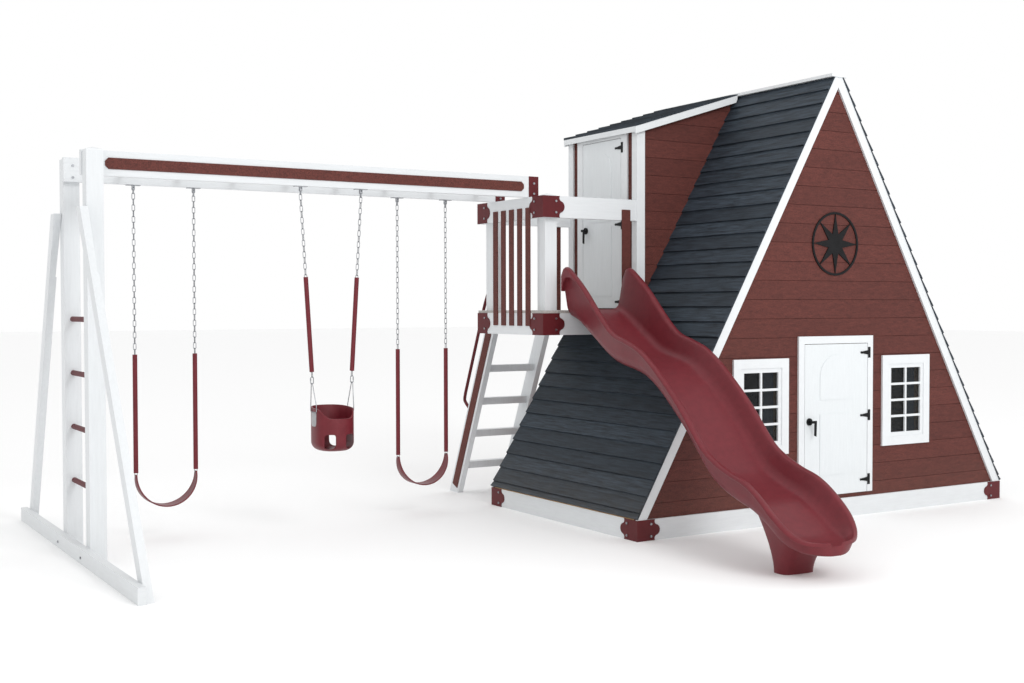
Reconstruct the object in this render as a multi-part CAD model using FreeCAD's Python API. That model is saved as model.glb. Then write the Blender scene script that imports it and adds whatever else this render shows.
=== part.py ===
import FreeCAD, Part
import math
import os

from FreeCAD import Vector, Placement, Rotation

# A-frame playhouse swing set. Millimetres, +Z up, +X along the swing beams towards the house.
# The origin is the middle of the underside of the house's front base timber.
# -Y is the front: the gable with the door, and the foot of the slide.

os.makedirs("parts", exist_ok=True)

# ---------------------------------------------------------------- driving dimensions
# House base and roof
cutter_reach = 300.0
least_offcut = 400.0
least_course = 20.0
house_width = 3658.0
house_depth = 1886.0
base_timber_width = 89.0
base_timber_height = 140.0
roof_angle = 59.85
roof_foot_rise = 5.0
ridge_height = 3228.0
sheathing_thickness = 12.0
rafter_width = 38.0
rafter_depth = 89.0
rafter_count = 5
ridge_beam_height = 140.0
roof_board_exposure = 121.5
roof_board_butt = 18.0
roof_board_tip = 6.0
roof_board_overhang = 6.0
starter_exposure = 46.0
ridge_cap_width = 150.0
ridge_cap_thickness = 22.0
rake_trim_width = 70.0
trim_thickness = 16.0
siding_thickness = 22.0
siding_rebate = 6.0
siding_groove = 3.0
siding_exposure = 136.5
siding_first_course = 102.0
stud_width = 38.0
stud_depth = 51.0
floor_thickness = 25.0
floor_board_width = 140.0
floor_board_gap = 3.0
loft_height = 1525.0
loft_joist_height = 140.0
collar_tie_height = 2150.0

# Lower door and windows in the front gable
door_centre_x = -4.5
door_casing_width = 55.0
door_leaf_width = 635.0
door_leaf_height = 1108.0
door_leaf_thickness = 35.0
door_sill_rise = 32.0
door_gap = 4.0
door_handle_rise = 549.0
door_handle_inset = 42.0
door_panel_side = 0.235
door_panel_relief = 4.0
door_panel_rises = (702.0, 1030.0, 150.0, 597.0)
door_hinge_rises = (93.0, 573.0, 1041.0)
hinge_plate_width = 24.0
hinge_plate_height = 80.0
hinge_strap_length = 70.0
hinge_strap_half_heights = (16.0, 6.0)
hinge_knob_radius = 9.0
hinge_thickness = 3.0
rose_radius = 26.0
rose_depth = 10.0
spindle_radius = 9.0
spindle_gap = 0.3
spindle_length = 26.0
lever_front = 46.0
lever_thickness = 9.0
lever_arm = (-8.0, 34.0)
lever_outline = ((16.0, 0.0), (34.0, 0.0), (30.0, -105.0), (14.0, -98.0))
window_centre_x = 736.0
window_outer_width = 516.0
window_outer_height = 684.0
window_sill_height = 502.0
window_trim_width = 66.0
sash_width = 31.0
muntin_width = 17.0
glass_thickness = 4.0
ornament_centre = (-14.0, 2014.0)
ornament_radii = (232.0, 216.0)
ornament_star_radii = (216.5, 74.0)
ornament_star_points = 8
ornament_thickness = 8.0
rear_stud_centres = (-1200.0, -600.0, 0.0, 600.0, 1200.0)
curtain_hem_drop = 30.0
curtain_head_rise = 50.0
curtain_width = 75.0
curtain_depth = 12.0

# Dormer above the deck
dormer_front = 1045.0
dormer_wall_x = 1046.0
dormer_depth = 927.0
dormer_roof_angle = 17.4
dormer_eave_height = 2930.0
dormer_overhang = 34.0
dormer_rake_width = 53.0
dormer_fascia_height = 40.0
dormer_rafter_depth = 64.0
cheek_trim_width = 60.0
front_cheek_reach = 12.0
rear_cheek_reach = 250.0
cheek_lap = 20.0
upper_sill_rise = 15.0
corner_trim_width = 64.0
upper_panel_rises = (680.0, 1216.0, 96.0, 640.0)
upper_hinge_rises = (50.0, 650.0, 1240.0)
upper_handle_rise = 620.0
upper_leaf_width = 510.0
upper_leaf_height = 1310.0
upper_casing_width = 75.0

# Deck
deck_width = 844.0
deck_front = 1050.0
deck_depth = 942.0
deck_rail_thickness = 46.0
deck_lower_rail_z = 1350.0
deck_lower_rail_height = 160.0
deck_upper_rail_z = 2208.0
deck_upper_rail_height = 158.0
deck_board_thickness = 20.0
deck_board_count = 6
deck_board_gap = 5.0
post_size = 102.0
baluster_width = 60.0
baluster_thickness = 9.0
baluster_pitch = 117.0
baluster_count = 5
baluster_offset = -37.0
baluster_z = 1416.0
baluster_height = 872.0
side_slat_width = 76.0
side_slat_gap = 64.0
deck_house_gap = 14.0
cap_skirt = 8.0
bracket_thickness = 5.0
bracket_leg_length = 144.0
bracket_tip = 40.0
bracket_bolt_run = 108.0
bracket_bolt_rise = 41.0
bolt_head_radius = 8.0
bolt_head_height = 6.0

# Ladder at the back of the deck
ladder_inner_width = 446.0
ladder_stile_thickness = 46.0
ladder_stile_depth = 146.0
ladder_foot_y = 2600.0
ladder_lean = 0.437
ladder_rung_count = 4
ladder_first_rung_z = 235.0
ladder_rung_pitch = 274.0
ladder_rung_height = 56.0
ladder_rung_depth = 89.0
ladder_rung_setback = 40.0
ladder_strip_width = 82.0
ladder_strip_start = 60.0
ladder_strip_length = 1460.0
handrail_heights = (778.0, 1376.0, 1615.0)
handrail_radius = 13.0
handrail_standoff = 130.0

# Swing beams and the end frame
end_post_outer_x = 5086.0
beam_end_x = 1797.0
beam_thickness = 46.0
beam_height = 155.0
beam_z = 2366.0
front_post_y = 1160.0
back_post_y = 1790.0
end_post_height = 2508.0
cap_height = 25.0
foot_beam_thickness = 46.0
foot_beam_height = 95.0
foot_beam_front = -69.0
foot_beam_length = 3153.0
end_rung_radius = 17.0
end_rung_first_z = 440.0
end_rung_pitch = 348.0
end_rung_count = 4
brace_thickness = 46.0
brace_depth = 89.0
brace_top_z = 2160.0
brace_clearance = 3.0
brace_fit_length = 400.0
inlay_height = 70.0
inlay_thickness = 6.0
inlay_inset_far = 136.0
inlay_inset_near = 127.0
brace_foot_inset = 75.0
brace_end_thickness = 5.0
beam_overrun = 6.0
end_plate_width = 82.0
monkey_bar_count = 8
monkey_bar_radius = 14.0
monkey_bar_first = 260.0
monkey_bar_pitch = 381.0

# Swings
belt_swing_centres = (4443.0, 2509.0)
belt_swing_width = 404.0
bucket_swing_centre = 3445.5
bucket_top_width = 439.0
swing_pin_drop = 24.0
swing_pin_radius = 4.0
swing_pin_clearance = 0.06
hanger_plate_length = 90.0
hanger_plate_width = 38.0
hanger_plate_thickness = 5.0
hanger_ear_radius = 12.0
pendulum_thickness = 6.0
pendulum_radius = 11.0
pendulum_drop = 26.0
link_hole_radius = 6.0
chain_pitch = 38.17
belt_link_count = 49
bucket_link_count = 32
chain_wire = 5.0
chain_link_width = 23.0
chain_slack = 1.04
link_seat = 1.35
tab_seat = 2.1
grip_radius = 15.5
grip_wall = 3.0
belt_bottom_z = 226.0
belt_thickness = 8.0
belt_width = 126.0
belt_end_width = 55.0
belt_tab = 16.0
belt_hole_drop = 11.0
belt_hole_radius = 5.0
belt_grip_bottom_z = 460.0
belt_grip_top_z = 1246.0
bucket_width = 270.0
bucket_depth = 298.0
bucket_bottom_z = 587.0
bucket_front_height = 222.0
bucket_back_height = 304.0
bucket_wall = 8.0
bucket_corner_radius = 90.0
bucket_floor_radius = 60.0
bucket_strap_width = 71.0
bucket_band_height = 106.0
bucket_hole_inset = 30.0
bucket_hole_rise = 16.0
bucket_hole_radius = 24.0
bucket_chain_bottom_z = 1105.0
bucket_chain_bottom_width = 292.0
bucket_grip_bottom_z = 1122.0
bucket_grip_top_z = 1760.0
bucket_wire_radius = 3.0
bucket_wire_spread = 99.0
bucket_wire_foot_z = 850.0
bucket_wire_upright = 45.0
bucket_pad_width = 79.0
bucket_pad_height = 93.0
bucket_pad_thickness = 4.0
clip_length = 56.0
clip_width = 26.0
clip_wire = 6.0

# Slide
slide_turn = 4.5
slide_centre_x = 1445.0
slide_width = 580.0
slide_bed_width = 400.0
slide_wall = 9.0
slide_rim_width = 45.0
slide_rim_drop = 26.0
# the rim's outer face reaches lower at the top, where it closes the head of the slide
slide_hood_drop = 120.0
slide_hood_length = 260.0
slide_entry_back = 40.0
slide_length = 2668.0
slide_end_start = 2380.0
slide_end_power = 2.4
slide_start = 25.0
slide_stations = 44
slide_belly_depth = 55.0
slide_belly_width = 470.0
# run of the middle, half length and half width of the foot, at the ground and at the bed
slide_foot_low = (2300.0, 68.0, 118.0)
slide_foot_high = (2330.0, 235.0, 190.0)
slide_foot_flare = 1.7
slide_foot_squareness = 0.6
slide_foot_corners = 24
slide_foot_seat = 296.0
slide_foot_seat_slope = 0.38
# heights of the rim and of the bed along the run
slide_crest = ((25, 1795), (45, 1830), (75, 1848), (145, 1815), (326, 1691), (588, 1468),
               (727, 1376), (890, 1329), (1047, 1277), (1224, 1173), (1514, 946), (1763, 704),
               (1894, 628), (2041, 575), (2184, 536), (2302, 477), (2455, 368), (2560, 284), (2620, 248),
               (2670, 232))
slide_bed = ((25, 1539), (145, 1500), (326, 1400), (588, 1255), (727, 1210), (890, 1180),
             (1047, 1135), (1224, 1035), (1514, 805), (1763, 565), (1894, 490), (2041, 440),
             (2184, 400), (2302, 345), (2455, 255), (2560, 222), (2670, 212))

# ---------------------------------------------------------------- places worked out
slope = math.radians(roof_angle)
foot_x = house_width / 2
roof_foot_z = base_timber_height + roof_foot_rise
front_y = -base_timber_width / 2
rear_y = front_y + house_depth
siding_front_y = front_y + trim_thickness
stud_front_y = siding_front_y + siding_thickness
siding_rear_y = rear_y - trim_thickness
stud_rear_y = siding_rear_y - siding_thickness
roof_run = (ridge_height - roof_foot_z) / math.sin(slope)
dormer_y0 = front_y + dormer_front
dormer_y1 = dormer_y0 + dormer_depth
dormer_slope = math.radians(dormer_roof_angle)
wall_stack = trim_thickness + siding_thickness + stud_depth
deck_x0 = -(dormer_wall_x + deck_width)
deck_x1 = -dormer_wall_x
deck_y0 = front_y + deck_front
deck_y1 = deck_y0 + deck_depth
deck_post_x0 = deck_x0 + deck_rail_thickness
deck_top_z = deck_lower_rail_z + deck_lower_rail_height + deck_board_thickness
front_beam_y = front_y + front_post_y + post_size
back_beam_y = front_y + back_post_y - beam_thickness
pin_z = beam_z - swing_pin_drop
wall_foot_z = loft_height - floor_thickness
dormer_cut_y = dormer_y0 + trim_thickness


# ---------------------------------------------------------------- small helpers
def box(x0, x1, y0, y1, z0, z1):
    """Box between two corners."""
    return Part.makeBox(x1 - x0, y1 - y0, z1 - z0, Vector(x0, y0, z0))


def rod(start, end, radius):
    """Round bar between two points."""
    run = Vector(*end) - Vector(*start)
    return Part.makeCylinder(radius, run.Length, Vector(*start), run)


def save(node, solids):
    """Write a group of separate solids as one node."""
    Part.makeCompound(solids).exportStep("parts/" + node + ".step")


def clip(points, a, b, c):
    """Part of a convex outline where a*u + b*v <= c."""
    kept = []
    for i, p in enumerate(points):
        q = points[(i + 1) % len(points)]
        dp = a * p[0] + b * p[1] - c
        dq = a * q[0] + b * q[1] - c
        if dp <= 1e-9:
            kept.append(p)
        if dp * dq < 0 and min(abs(dp), abs(dq)) > 1e-9:
            t = dp / (dp - dq)
            kept.append((p[0] + t * (q[0] - p[0]), p[1] + t * (q[1] - p[1])))
    return kept


def area(points):
    """Area of an outline."""
    total = 0.0
    for i, p in enumerate(points):
        q = points[(i + 1) % len(points)]
        total += p[0] * q[1] - q[0] * p[1]
    return abs(total) / 2


def plate_xz(points, y0, y1):
    """Outline in the XZ plane, thickened from y0 to y1."""
    ring = [Vector(x, y0, z) for x, z in points]
    face = Part.Face(Part.makePolygon(ring + ring[:1]))
    return face.extrude(Vector(0, y1 - y0, 0))


def plate_yz(points, x0, x1):
    """Outline in the YZ plane, thickened from x0 to x1."""
    ring = [Vector(x0, y, z) for y, z in points]
    face = Part.Face(Part.makePolygon(ring + ring[:1]))
    return face.extrude(Vector(x1 - x0, 0, 0))


def rect(u0, u1, v0, v1):
    """Corners of a rectangle."""
    return [(u0, v0), (u1, v0), (u1, v1), (u0, v1)]


def slope_point(along, out, side):
    """Point of a roof slope: along it from its foot, and out from the sheathing's face."""
    x = -foot_x + along * math.cos(slope) - out * math.sin(slope)
    z = roof_foot_z + along * math.sin(slope) + out * math.cos(slope)
    return (x, z) if side < 0 else (-x, z)


def under_roof(points, out):
    """Keep what lies below both slopes, out from the sheathing's face."""
    level = foot_x * math.sin(slope) + roof_foot_z * math.cos(slope) + out
    points = clip(points, math.sin(slope), math.cos(slope), level)
    return clip(points, -math.sin(slope), math.cos(slope), level) if points else points


def right_of_centre_clip(points, out):
    """Keep what lies below the right slope only."""
    level = foot_x * math.sin(slope) + roof_foot_z * math.cos(slope) + out
    return clip(points, math.sin(slope), math.cos(slope), level)


def left_of_roof(points, gap):
    """Keep what lies outside the left slope by a gap."""
    level = foot_x * math.sin(slope) + roof_foot_z * math.cos(slope) + gap
    return clip(points, math.sin(slope), -math.cos(slope), -level)


def under_dormer(points, drop):
    """Keep what lies under the dormer roof's plane, less a drop square to it."""
    level = (dormer_wall_x * math.sin(dormer_slope)
             + dormer_eave_height * math.cos(dormer_slope) - drop)
    return clip(points, -math.sin(dormer_slope), math.cos(dormer_slope), level)


# ---------------------------------------------------------------- house base and floor
def base_frame():
    w, h = base_timber_width, base_timber_height
    front = box(-foot_x, foot_x, front_y, front_y + w, 0, h)
    rear = box(-foot_x, foot_x, rear_y - w, rear_y, 0, h)
    left = box(-foot_x, -foot_x + w, front_y + w, rear_y - w, 0, h)
    right = box(foot_x - w, foot_x, front_y + w, rear_y - w, 0, h)
    joists = []
    for i in range(1, 6):
        x = -foot_x + i * house_width / 6
        joists.append(box(x - stud_width / 2, x + stud_width / 2, front_y + w, rear_y - w, 20, h))
    save("base_frame", [front, rear, left, right])
    return joists


def planks(x_limit, y0, y1, z0, thickness, inset):
    """Floor planks along X, their ends under the rafters."""
    pitch = floor_board_width + floor_board_gap
    made = []
    y = y0
    while y < y1 - least_course:
        end = min(y + floor_board_width, y1)
        outline = rect(-x_limit, x_limit, z0, z0 + thickness)
        made.append(plate_xz(under_roof(outline, -inset), y, end))
        y += pitch
    return made


def floors(floor_joists):
    inset = sheathing_thickness + rafter_depth + 4
    base_z = base_timber_height
    inner0 = stud_front_y + stud_depth
    inner1 = stud_rear_y - stud_depth
    boards = planks(foot_x, inner0, inner1, base_z, floor_thickness, inset)
    joist_z = loft_height - floor_thickness - loft_joist_height
    joists = list(floor_joists)
    right_inner = -inset
    first_y = dormer_cut_y + siding_thickness
    for y in (first_y, (first_y + inner1) / 2, inner1 - stud_width):
        outline = rect(-dormer_wall_x, foot_x, joist_z, joist_z + loft_joist_height)
        joists.append(plate_xz(right_of_centre_clip(outline, right_inner), y, y + stud_width))
    save("floor_joists", joists)
    x = -dormer_wall_x + wall_stack + 1
    board_z = joist_z + loft_joist_height
    while x < foot_x:
        outline = rect(x, x + floor_board_width, board_z, loft_height)
        outline = right_of_centre_clip(outline, right_inner)
        if len(outline) > 2 and area(outline) > 800:
            boards.append(plate_xz(outline, first_y, inner1))
        x += floor_board_width + floor_board_gap
    save("floor_boards", boards)


# ---------------------------------------------------------------- roof
def rafter_outline(side, out_top, out_bottom):
    """A slope's strip from the base timbers to the ridge beam."""
    strip = [slope_point(-cutter_reach, out_bottom, side),
             slope_point(-cutter_reach, out_top, side),
             slope_point(roof_run + cutter_reach, out_top, side),
             slope_point(roof_run + cutter_reach, out_bottom, side)]
    strip = clip(strip, 0, -1, -base_timber_height)
    strip = clip(strip, 0, 1, ridge_height)
    return clip(strip, side * -1, 0, -rafter_width / 2)


def rafters():
    made = []
    top = -sheathing_thickness
    bottom = top - rafter_depth
    first = stud_front_y
    last = stud_rear_y - rafter_width
    for i in range(rafter_count):
        y = first + i * (last - first) / (rafter_count - 1)
        for side in (-1, 1):
            outline = rafter_outline(side, top, bottom)
            if side < 0 and y + rafter_width > dormer_cut_y:
                outline = clip(outline, 1, 0, -dormer_wall_x)
            made.append(plate_xz(outline, y, y + rafter_width))
    half = rafter_width / 2
    beam = box(-half, half, stud_front_y, stud_rear_y,
               ridge_height - ridge_beam_height, ridge_height)
    tie = under_roof(rect(-foot_x, foot_x, collar_tie_height, collar_tie_height + rafter_depth),
                     top)
    spread = (last - first) / (rafter_count - 1)
    ties = [plate_xz(tie, first + i * spread + rafter_width, first + i * spread + 2 * rafter_width)
            for i in (1, 2)]
    return made + [beam] + ties


def roof_spans(outline):
    """A left-slope outline as solids: whole, or cut back where the dormer stands."""
    y0 = front_y - roof_board_overhang
    y1 = rear_y + roof_board_overhang
    behind = clip(outline, 1, 0, -dormer_wall_x)
    if behind and abs(area(behind) - area(outline)) < 1:
        return [plate_xz(outline, y0, y1)]
    made = [plate_xz(outline, y0, dormer_cut_y)]
    if len(behind) > 2 and area(behind) > 200:
        made.append(plate_xz(behind, dormer_cut_y, y1))
    return made


def roof_courses(side):
    """Wedge-shaped lap boards, laid from the foot to the ridge."""
    end = roof_run - roof_board_tip / math.tan(slope)
    starts = [0.0, starter_exposure]
    while starts[-1] + roof_board_exposure < end - least_course:
        starts.append(starts[-1] + roof_board_exposure)
    made = []
    for low, high in zip(starts, starts[1:] + [end]):
        outline = [slope_point(low, 0, side), slope_point(low, roof_board_butt, side),
                   slope_point(high, roof_board_tip, side), slope_point(high, 0, side)]
        if side < 0:
            made += roof_spans(outline)
        else:
            y0 = front_y - roof_board_overhang
            made.append(plate_xz(outline, y0, rear_y + roof_board_overhang))
    return made


def roof():
    save("roof_boards", roof_courses(-1) + roof_courses(1))
    sheets = []
    for side in (-1, 1):
        sheet = [slope_point(-cutter_reach, -sheathing_thickness, side),
                 slope_point(-cutter_reach, 0, side),
                 slope_point(roof_run + cutter_reach, 0, side),
                 slope_point(roof_run + cutter_reach, -sheathing_thickness, side)]
        sheet = clip(clip(sheet, 0, -1, -base_timber_height), 0, 1, ridge_height)
        y0, y1 = siding_front_y + siding_thickness, siding_rear_y - siding_thickness
        if side > 0:
            sheets.append(plate_xz(sheet, y0, y1))
        else:
            lower = clip(sheet, 1, 0, -dormer_wall_x)
            sheets.append(plate_xz(sheet, y0, dormer_cut_y))
            sheets.append(plate_xz(lower, dormer_cut_y, y1))
    save("roof_sheathing", sheets)
    half = ridge_cap_width / 2
    cap = box(-half, half, front_y - roof_board_overhang - 4, dormer_y1 + trim_thickness + 7,
              ridge_height, ridge_height + ridge_cap_thickness)
    save("ridge_cap", [cap])


def rake_trims():
    """White boards along the slopes of both gables."""
    made = []
    for y0, y1 in ((front_y, siding_front_y), (siding_rear_y, rear_y)):
        for side in (-1, 1):
            strip = [slope_point(-cutter_reach, -rake_trim_width, side),
                     slope_point(-cutter_reach, 0, side),
                     slope_point(roof_run + cutter_reach, 0, side),
                     slope_point(roof_run + cutter_reach, -rake_trim_width, side)]
            strip = clip(clip(strip, 0, -1, -base_timber_height), 0, 1, ridge_height)
            strip = clip(strip, -side, 0, 0)
            made.append(plate_xz(strip, y0, y1))
    save("rake_trims", made)


# ---------------------------------------------------------------- gable walls
def siding_board(outline, high, y_face, inward):
    """One board of shiplap siding: full-height back, face rebated at its upper edge."""
    back_y = y_face + inward * siding_thickness
    step_y = y_face + inward * siding_rebate
    back = plate_xz(outline, min(step_y, back_y), max(step_y, back_y))
    face_outline = clip(outline, 0, 1, high - siding_groove)
    if len(face_outline) < 3:
        return back
    face = plate_xz(face_outline, min(y_face, step_y), max(y_face, step_y))
    return back.fuse(face).removeSplitter()


def siding_courses(low, high):
    """Lower and upper edges of each course between two heights."""
    edges = [low]
    line = base_timber_height + siding_first_course
    while line < low + 1:
        line += siding_exposure
    while line < high - 1:
        edges.append(line)
        line += siding_exposure
    return list(zip(edges, edges[1:] + [high]))


def split_around(outline, openings, low, high):
    """Cut a course's outline around the openings that it meets."""
    cuts = sorted(o for o in openings if o[2] < high - 0.5 and o[3] > low + 0.5)
    pieces = []
    rest = outline
    for x0, x1, z0, z1 in cuts:
        left = clip(rest, 1, 0, x0)
        if len(left) > 2:
            pieces.append(left)
        inside = clip(clip(rest, -1, 0, -x0), 1, 0, x1)
        below = clip(inside, 0, 1, z0) if z0 > low else []
        above = clip(inside, 0, -1, -z1) if z1 < high else []
        pieces += [part for part in (below, above) if len(part) > 2 and area(part) > 100]
        rest = clip(rest, -1, 0, -x1)
    return pieces + ([rest] if len(rest) > 2 else [])


def door_opening():
    half = door_leaf_width / 2 + door_gap
    sill = base_timber_height + door_sill_rise
    return (door_centre_x - half, door_centre_x + half, sill, sill + door_leaf_height + door_gap)


def window_openings():
    half = window_outer_width / 2 - window_trim_width
    z0 = window_sill_height + window_trim_width
    z1 = window_sill_height + window_outer_height - window_trim_width
    return [(x - half, x + half, z0, z1) for x in (-window_centre_x, window_centre_x)]


def gable_siding(y_face, inward, openings):
    made = []
    for low, high in siding_courses(base_timber_height, ridge_height):
        outline = under_roof(rect(-foot_x, foot_x, low, high), -0.0)
        if len(outline) < 3 or area(outline) < least_offcut:
            continue
        for part in split_around(outline, openings, low, high):
            made.append(siding_board(part, high, y_face, inward))
    return made


def gable_walls():
    openings = [door_opening()] + window_openings()
    front = gable_siding(siding_front_y, 1, openings)
    save("gable_siding", front + gable_siding(siding_rear_y, -1, []))
    inset = -(sheathing_thickness + rafter_depth)
    made = []
    x0, x1 = door_opening()[:2]
    w1 = window_openings()[1]
    edges = [x0 - stud_width, x1, w1[0] - stud_width, w1[1], -w1[0], -w1[1] - stud_width]
    for x in edges:
        stud = under_roof(rect(x, x + stud_width, base_timber_height, ridge_height), inset)
        made.append(plate_xz(stud, stud_front_y, stud_front_y + stud_depth))
    for x in rear_stud_centres:
        outline = rect(x - stud_width / 2, x + stud_width / 2, base_timber_height, ridge_height)
        outline = clip(under_roof(outline, inset), 0, 1, ridge_height - ridge_beam_height)
        made.append(plate_xz(outline, stud_rear_y - stud_depth, stud_rear_y))
    header = box(x0, x1, stud_front_y, stud_front_y + stud_depth,
                 door_opening()[3] + 2, door_opening()[3] + 2 + rafter_depth)
    return made + [header]


# ---------------------------------------------------------------- lower door and windows
def frame_ring(x0, x1, z0, z1, width, y0, y1):
    """Four trim boards around an opening, butted at the corners."""
    return [box(x0, x1, y0, y1, z1 - width, z1), box(x0, x1, y0, y1, z0, z0 + width),
            box(x0, x0 + width, y0, y1, z0 + width, z1 - width),
            box(x1 - width, x1, y0, y1, z0 + width, z1 - width)]


def arched_panel(x0, x1, z0, z1, y0, y1):
    """Raised panel with a half-round top."""
    radius = (x1 - x0) / 2
    mid = (x0 + x1) / 2
    spring = z1 - radius
    p = [Vector(x0, y0, z0), Vector(x1, y0, z0), Vector(x1, y0, spring), Vector(x0, y0, spring)]
    edges = [Part.LineSegment(p[0], p[1]).toShape(), Part.LineSegment(p[1], p[2]).toShape(),
             Part.Arc(p[2], Vector(mid, y0, z1), p[3]).toShape(),
             Part.LineSegment(p[3], p[0]).toShape()]
    return Part.Face(Part.Wire(edges)).extrude(Vector(0, y1 - y0, 0))


def tee_hinge():
    """Black T-hinge seen from the front: plate to the right of the pin, strap to the left."""
    plate = box(0, hinge_plate_width, -hinge_thickness, 0,
                -hinge_plate_height / 2, hinge_plate_height / 2)
    root, tip = hinge_strap_half_heights
    end = -hinge_strap_length
    strap = plate_xz([(0, -root), (0, root), (end, tip), (end, -tip)], -hinge_thickness, 0)
    knob = Part.makeCylinder(hinge_knob_radius, hinge_thickness,
                             Vector(end, -hinge_thickness, 0), Vector(0, 1, 0))
    return plate, strap.fuse(knob).removeSplitter()


def lever_handle():
    """Rose and spindle, and a lever that hangs down from it."""
    out = Vector(0, -1, 0)
    spindle_start = rose_depth + spindle_gap
    rose = Part.makeCylinder(rose_radius, rose_depth, Vector(0, 0, 0), out)
    neck = Part.makeCylinder(spindle_radius, spindle_length, Vector(0, -spindle_start, 0), out)
    arm = box(lever_arm[0], lever_arm[1], -lever_front, -(spindle_start + spindle_length),
              -spindle_radius, spindle_radius)
    grip = plate_xz(list(lever_outline), -lever_front, -lever_front + lever_thickness)
    lever = neck.fuse(arm).fuse(grip).removeSplitter()
    return rose, lever


def door_leaf(x0, x1, z0, z1, y_face, panels):
    """Leaf with one arched and one square raised panel."""
    leaf = box(x0, x1, y_face, y_face + door_leaf_thickness, z0, z1)
    side = (x1 - x0) * door_panel_side
    panel_face = y_face - door_panel_relief
    arch = arched_panel(x0 + side, x1 - side, panels[0], panels[1], panel_face, y_face)
    square = box(x0 + side, x1 - side, panel_face, y_face, panels[2], panels[3])
    return leaf.fuse([arch, square]).removeSplitter()


def place(shape, position, angle=0.0):
    """Copy of a shape turned about Z and moved."""
    moved = shape.copy()
    moved.Placement = Placement(Vector(*position), Rotation(Vector(0, 0, 1), angle))
    return moved


def lower_door():
    x0, x1, z0, z1 = door_opening()
    c = door_casing_width
    y_face = front_y
    casing = [box(x0 - c, x1 + c, y_face, siding_front_y, z1, z1 + c),
              box(x0 - c, x0, y_face, siding_front_y, z0, z1),
              box(x1, x1 + c, y_face, siding_front_y, z0, z1)]
    leaf_x0, leaf_x1 = x0 + door_gap, x1 - door_gap
    leaf_z1 = z1 - door_gap
    panels = [z0 + rise for rise in door_panel_rises]
    save("lower_door_leaf", [door_leaf(leaf_x0, leaf_x1, z0 + 0.5, leaf_z1, y_face + 1, panels)])
    plates, straps = [], []
    for z in (z0 + rise for rise in door_hinge_rises):
        plate, strap = tee_hinge()
        plates.append(place(plate, (x1 + 2, y_face, z)))
        straps.append(place(strap, (x1 + 1.6, y_face - 0.2, z)))
    rose, lever = lever_handle()
    spot = (leaf_x0 + door_handle_inset, y_face + 1, z0 + door_handle_rise)
    save("lower_door_hardware", straps + [place(rose, spot)])
    save("lower_door_lever", [place(lever, spot)])
    return casing, plates


def windows():
    casings, sashes, panes, curtains = [], [], [], []
    for x0, x1, z0, z1 in window_openings():
        w = window_trim_width
        casings += frame_ring(x0 - w, x1 + w, z0 - w, z1 + w, w, front_y, siding_front_y)
        y0, y1 = front_y + 6, front_y + 26
        sash = frame_ring(x0, x1, z0, z1, sash_width, y0, y1)
        gx0, gx1 = x0 + sash_width, x1 - sash_width
        gz0, gz1 = z0 + sash_width, z1 - sash_width
        mid = (gx0 + gx1) / 2
        half = muntin_width / 2
        sash.append(box(mid - half, mid + half, y0, y1 - 6, gz0, gz1))
        for i in (1, 2, 3):
            z = gz0 + i * (gz1 - gz0) / 4
            for a, b in ((gx0, mid - half), (mid + half, gx1)):
                sash.append(box(a, b, y0, y1 - 6, z - half, z + half))
        sashes += sash
        panes.append(box(gx0, gx1, y1 - 6, y1 - 6 + glass_thickness, gz0, gz1))
        cloth_y = stud_front_y + stud_depth
        curtains.append(box(gx1 - curtain_width, x1 + 10, cloth_y, cloth_y + curtain_depth,
                            gz0 - curtain_hem_drop, gz1 + curtain_head_rise))
    save("window_casings", casings)
    save("window_sashes", sashes)
    save("window_panes", panes)
    save("window_curtains", curtains)


def gable_ornament():
    """Plain black ring and star of flat bars, fixed high on the front gable."""
    depth = ornament_thickness
    centre = Vector(ornament_centre[0], siding_front_y - depth, ornament_centre[1])
    outer, inner = (Part.makeCylinder(radius, depth, centre, Vector(0, 1, 0))
                    for radius in ornament_radii)
    ring = outer.cut(inner)
    star = []
    for i in range(2 * ornament_star_points):
        radius = ornament_star_radii[i % 2]
        turn = math.pi * i / ornament_star_points
        star.append((centre.x + radius * math.sin(turn), centre.z + radius * math.cos(turn)))
    emblem = ring.fuse(plate_xz(star, centre.y, centre.y + depth)).removeSplitter()
    save("gable_ornament", [emblem])


# ---------------------------------------------------------------- dormer
def cheek_board(outline, high, y_face, inward):
    """Cheek siding, cut to the main roof and under the dormer roof."""
    outline = under_dormer(outline, sheathing_thickness)
    reach = front_cheek_reach if inward > 0 else rear_cheek_reach
    outline = left_of_roof(outline, -reach) if len(outline) > 2 else outline
    if len(outline) < 3 or area(outline) < least_offcut:
        return []
    return [siding_board(outline, high, y_face, inward)]


def dormer_cheeks():
    t = trim_thickness
    x0 = -dormer_wall_x + t
    boards = []
    for y_face, inward in ((dormer_y0 + t, 1), (dormer_y1 - t, -1)):
        for low, high in siding_courses(wall_foot_z, ridge_height):
            outline = rect(x0, -ridge_cap_width / 2, low, high)
            boards += cheek_board(outline, high, y_face, inward)
    return boards


def wall_course(y0, y1, low, high):
    """One shiplap board of the door wall, facing -X."""
    x = -dormer_wall_x + trim_thickness
    back = box(x + siding_rebate, x + siding_thickness, y0, y1, low, high)
    face = box(x, x + siding_rebate, y0, y1, low, high - siding_groove)
    return back.fuse(face).removeSplitter()


def upper_door_opening():
    mid = (dormer_y0 + dormer_y1) / 2
    half = upper_leaf_width / 2 + door_gap
    sill = deck_top_z + upper_sill_rise
    return (mid - half, mid + half, sill, sill + upper_leaf_height + door_gap)


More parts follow.
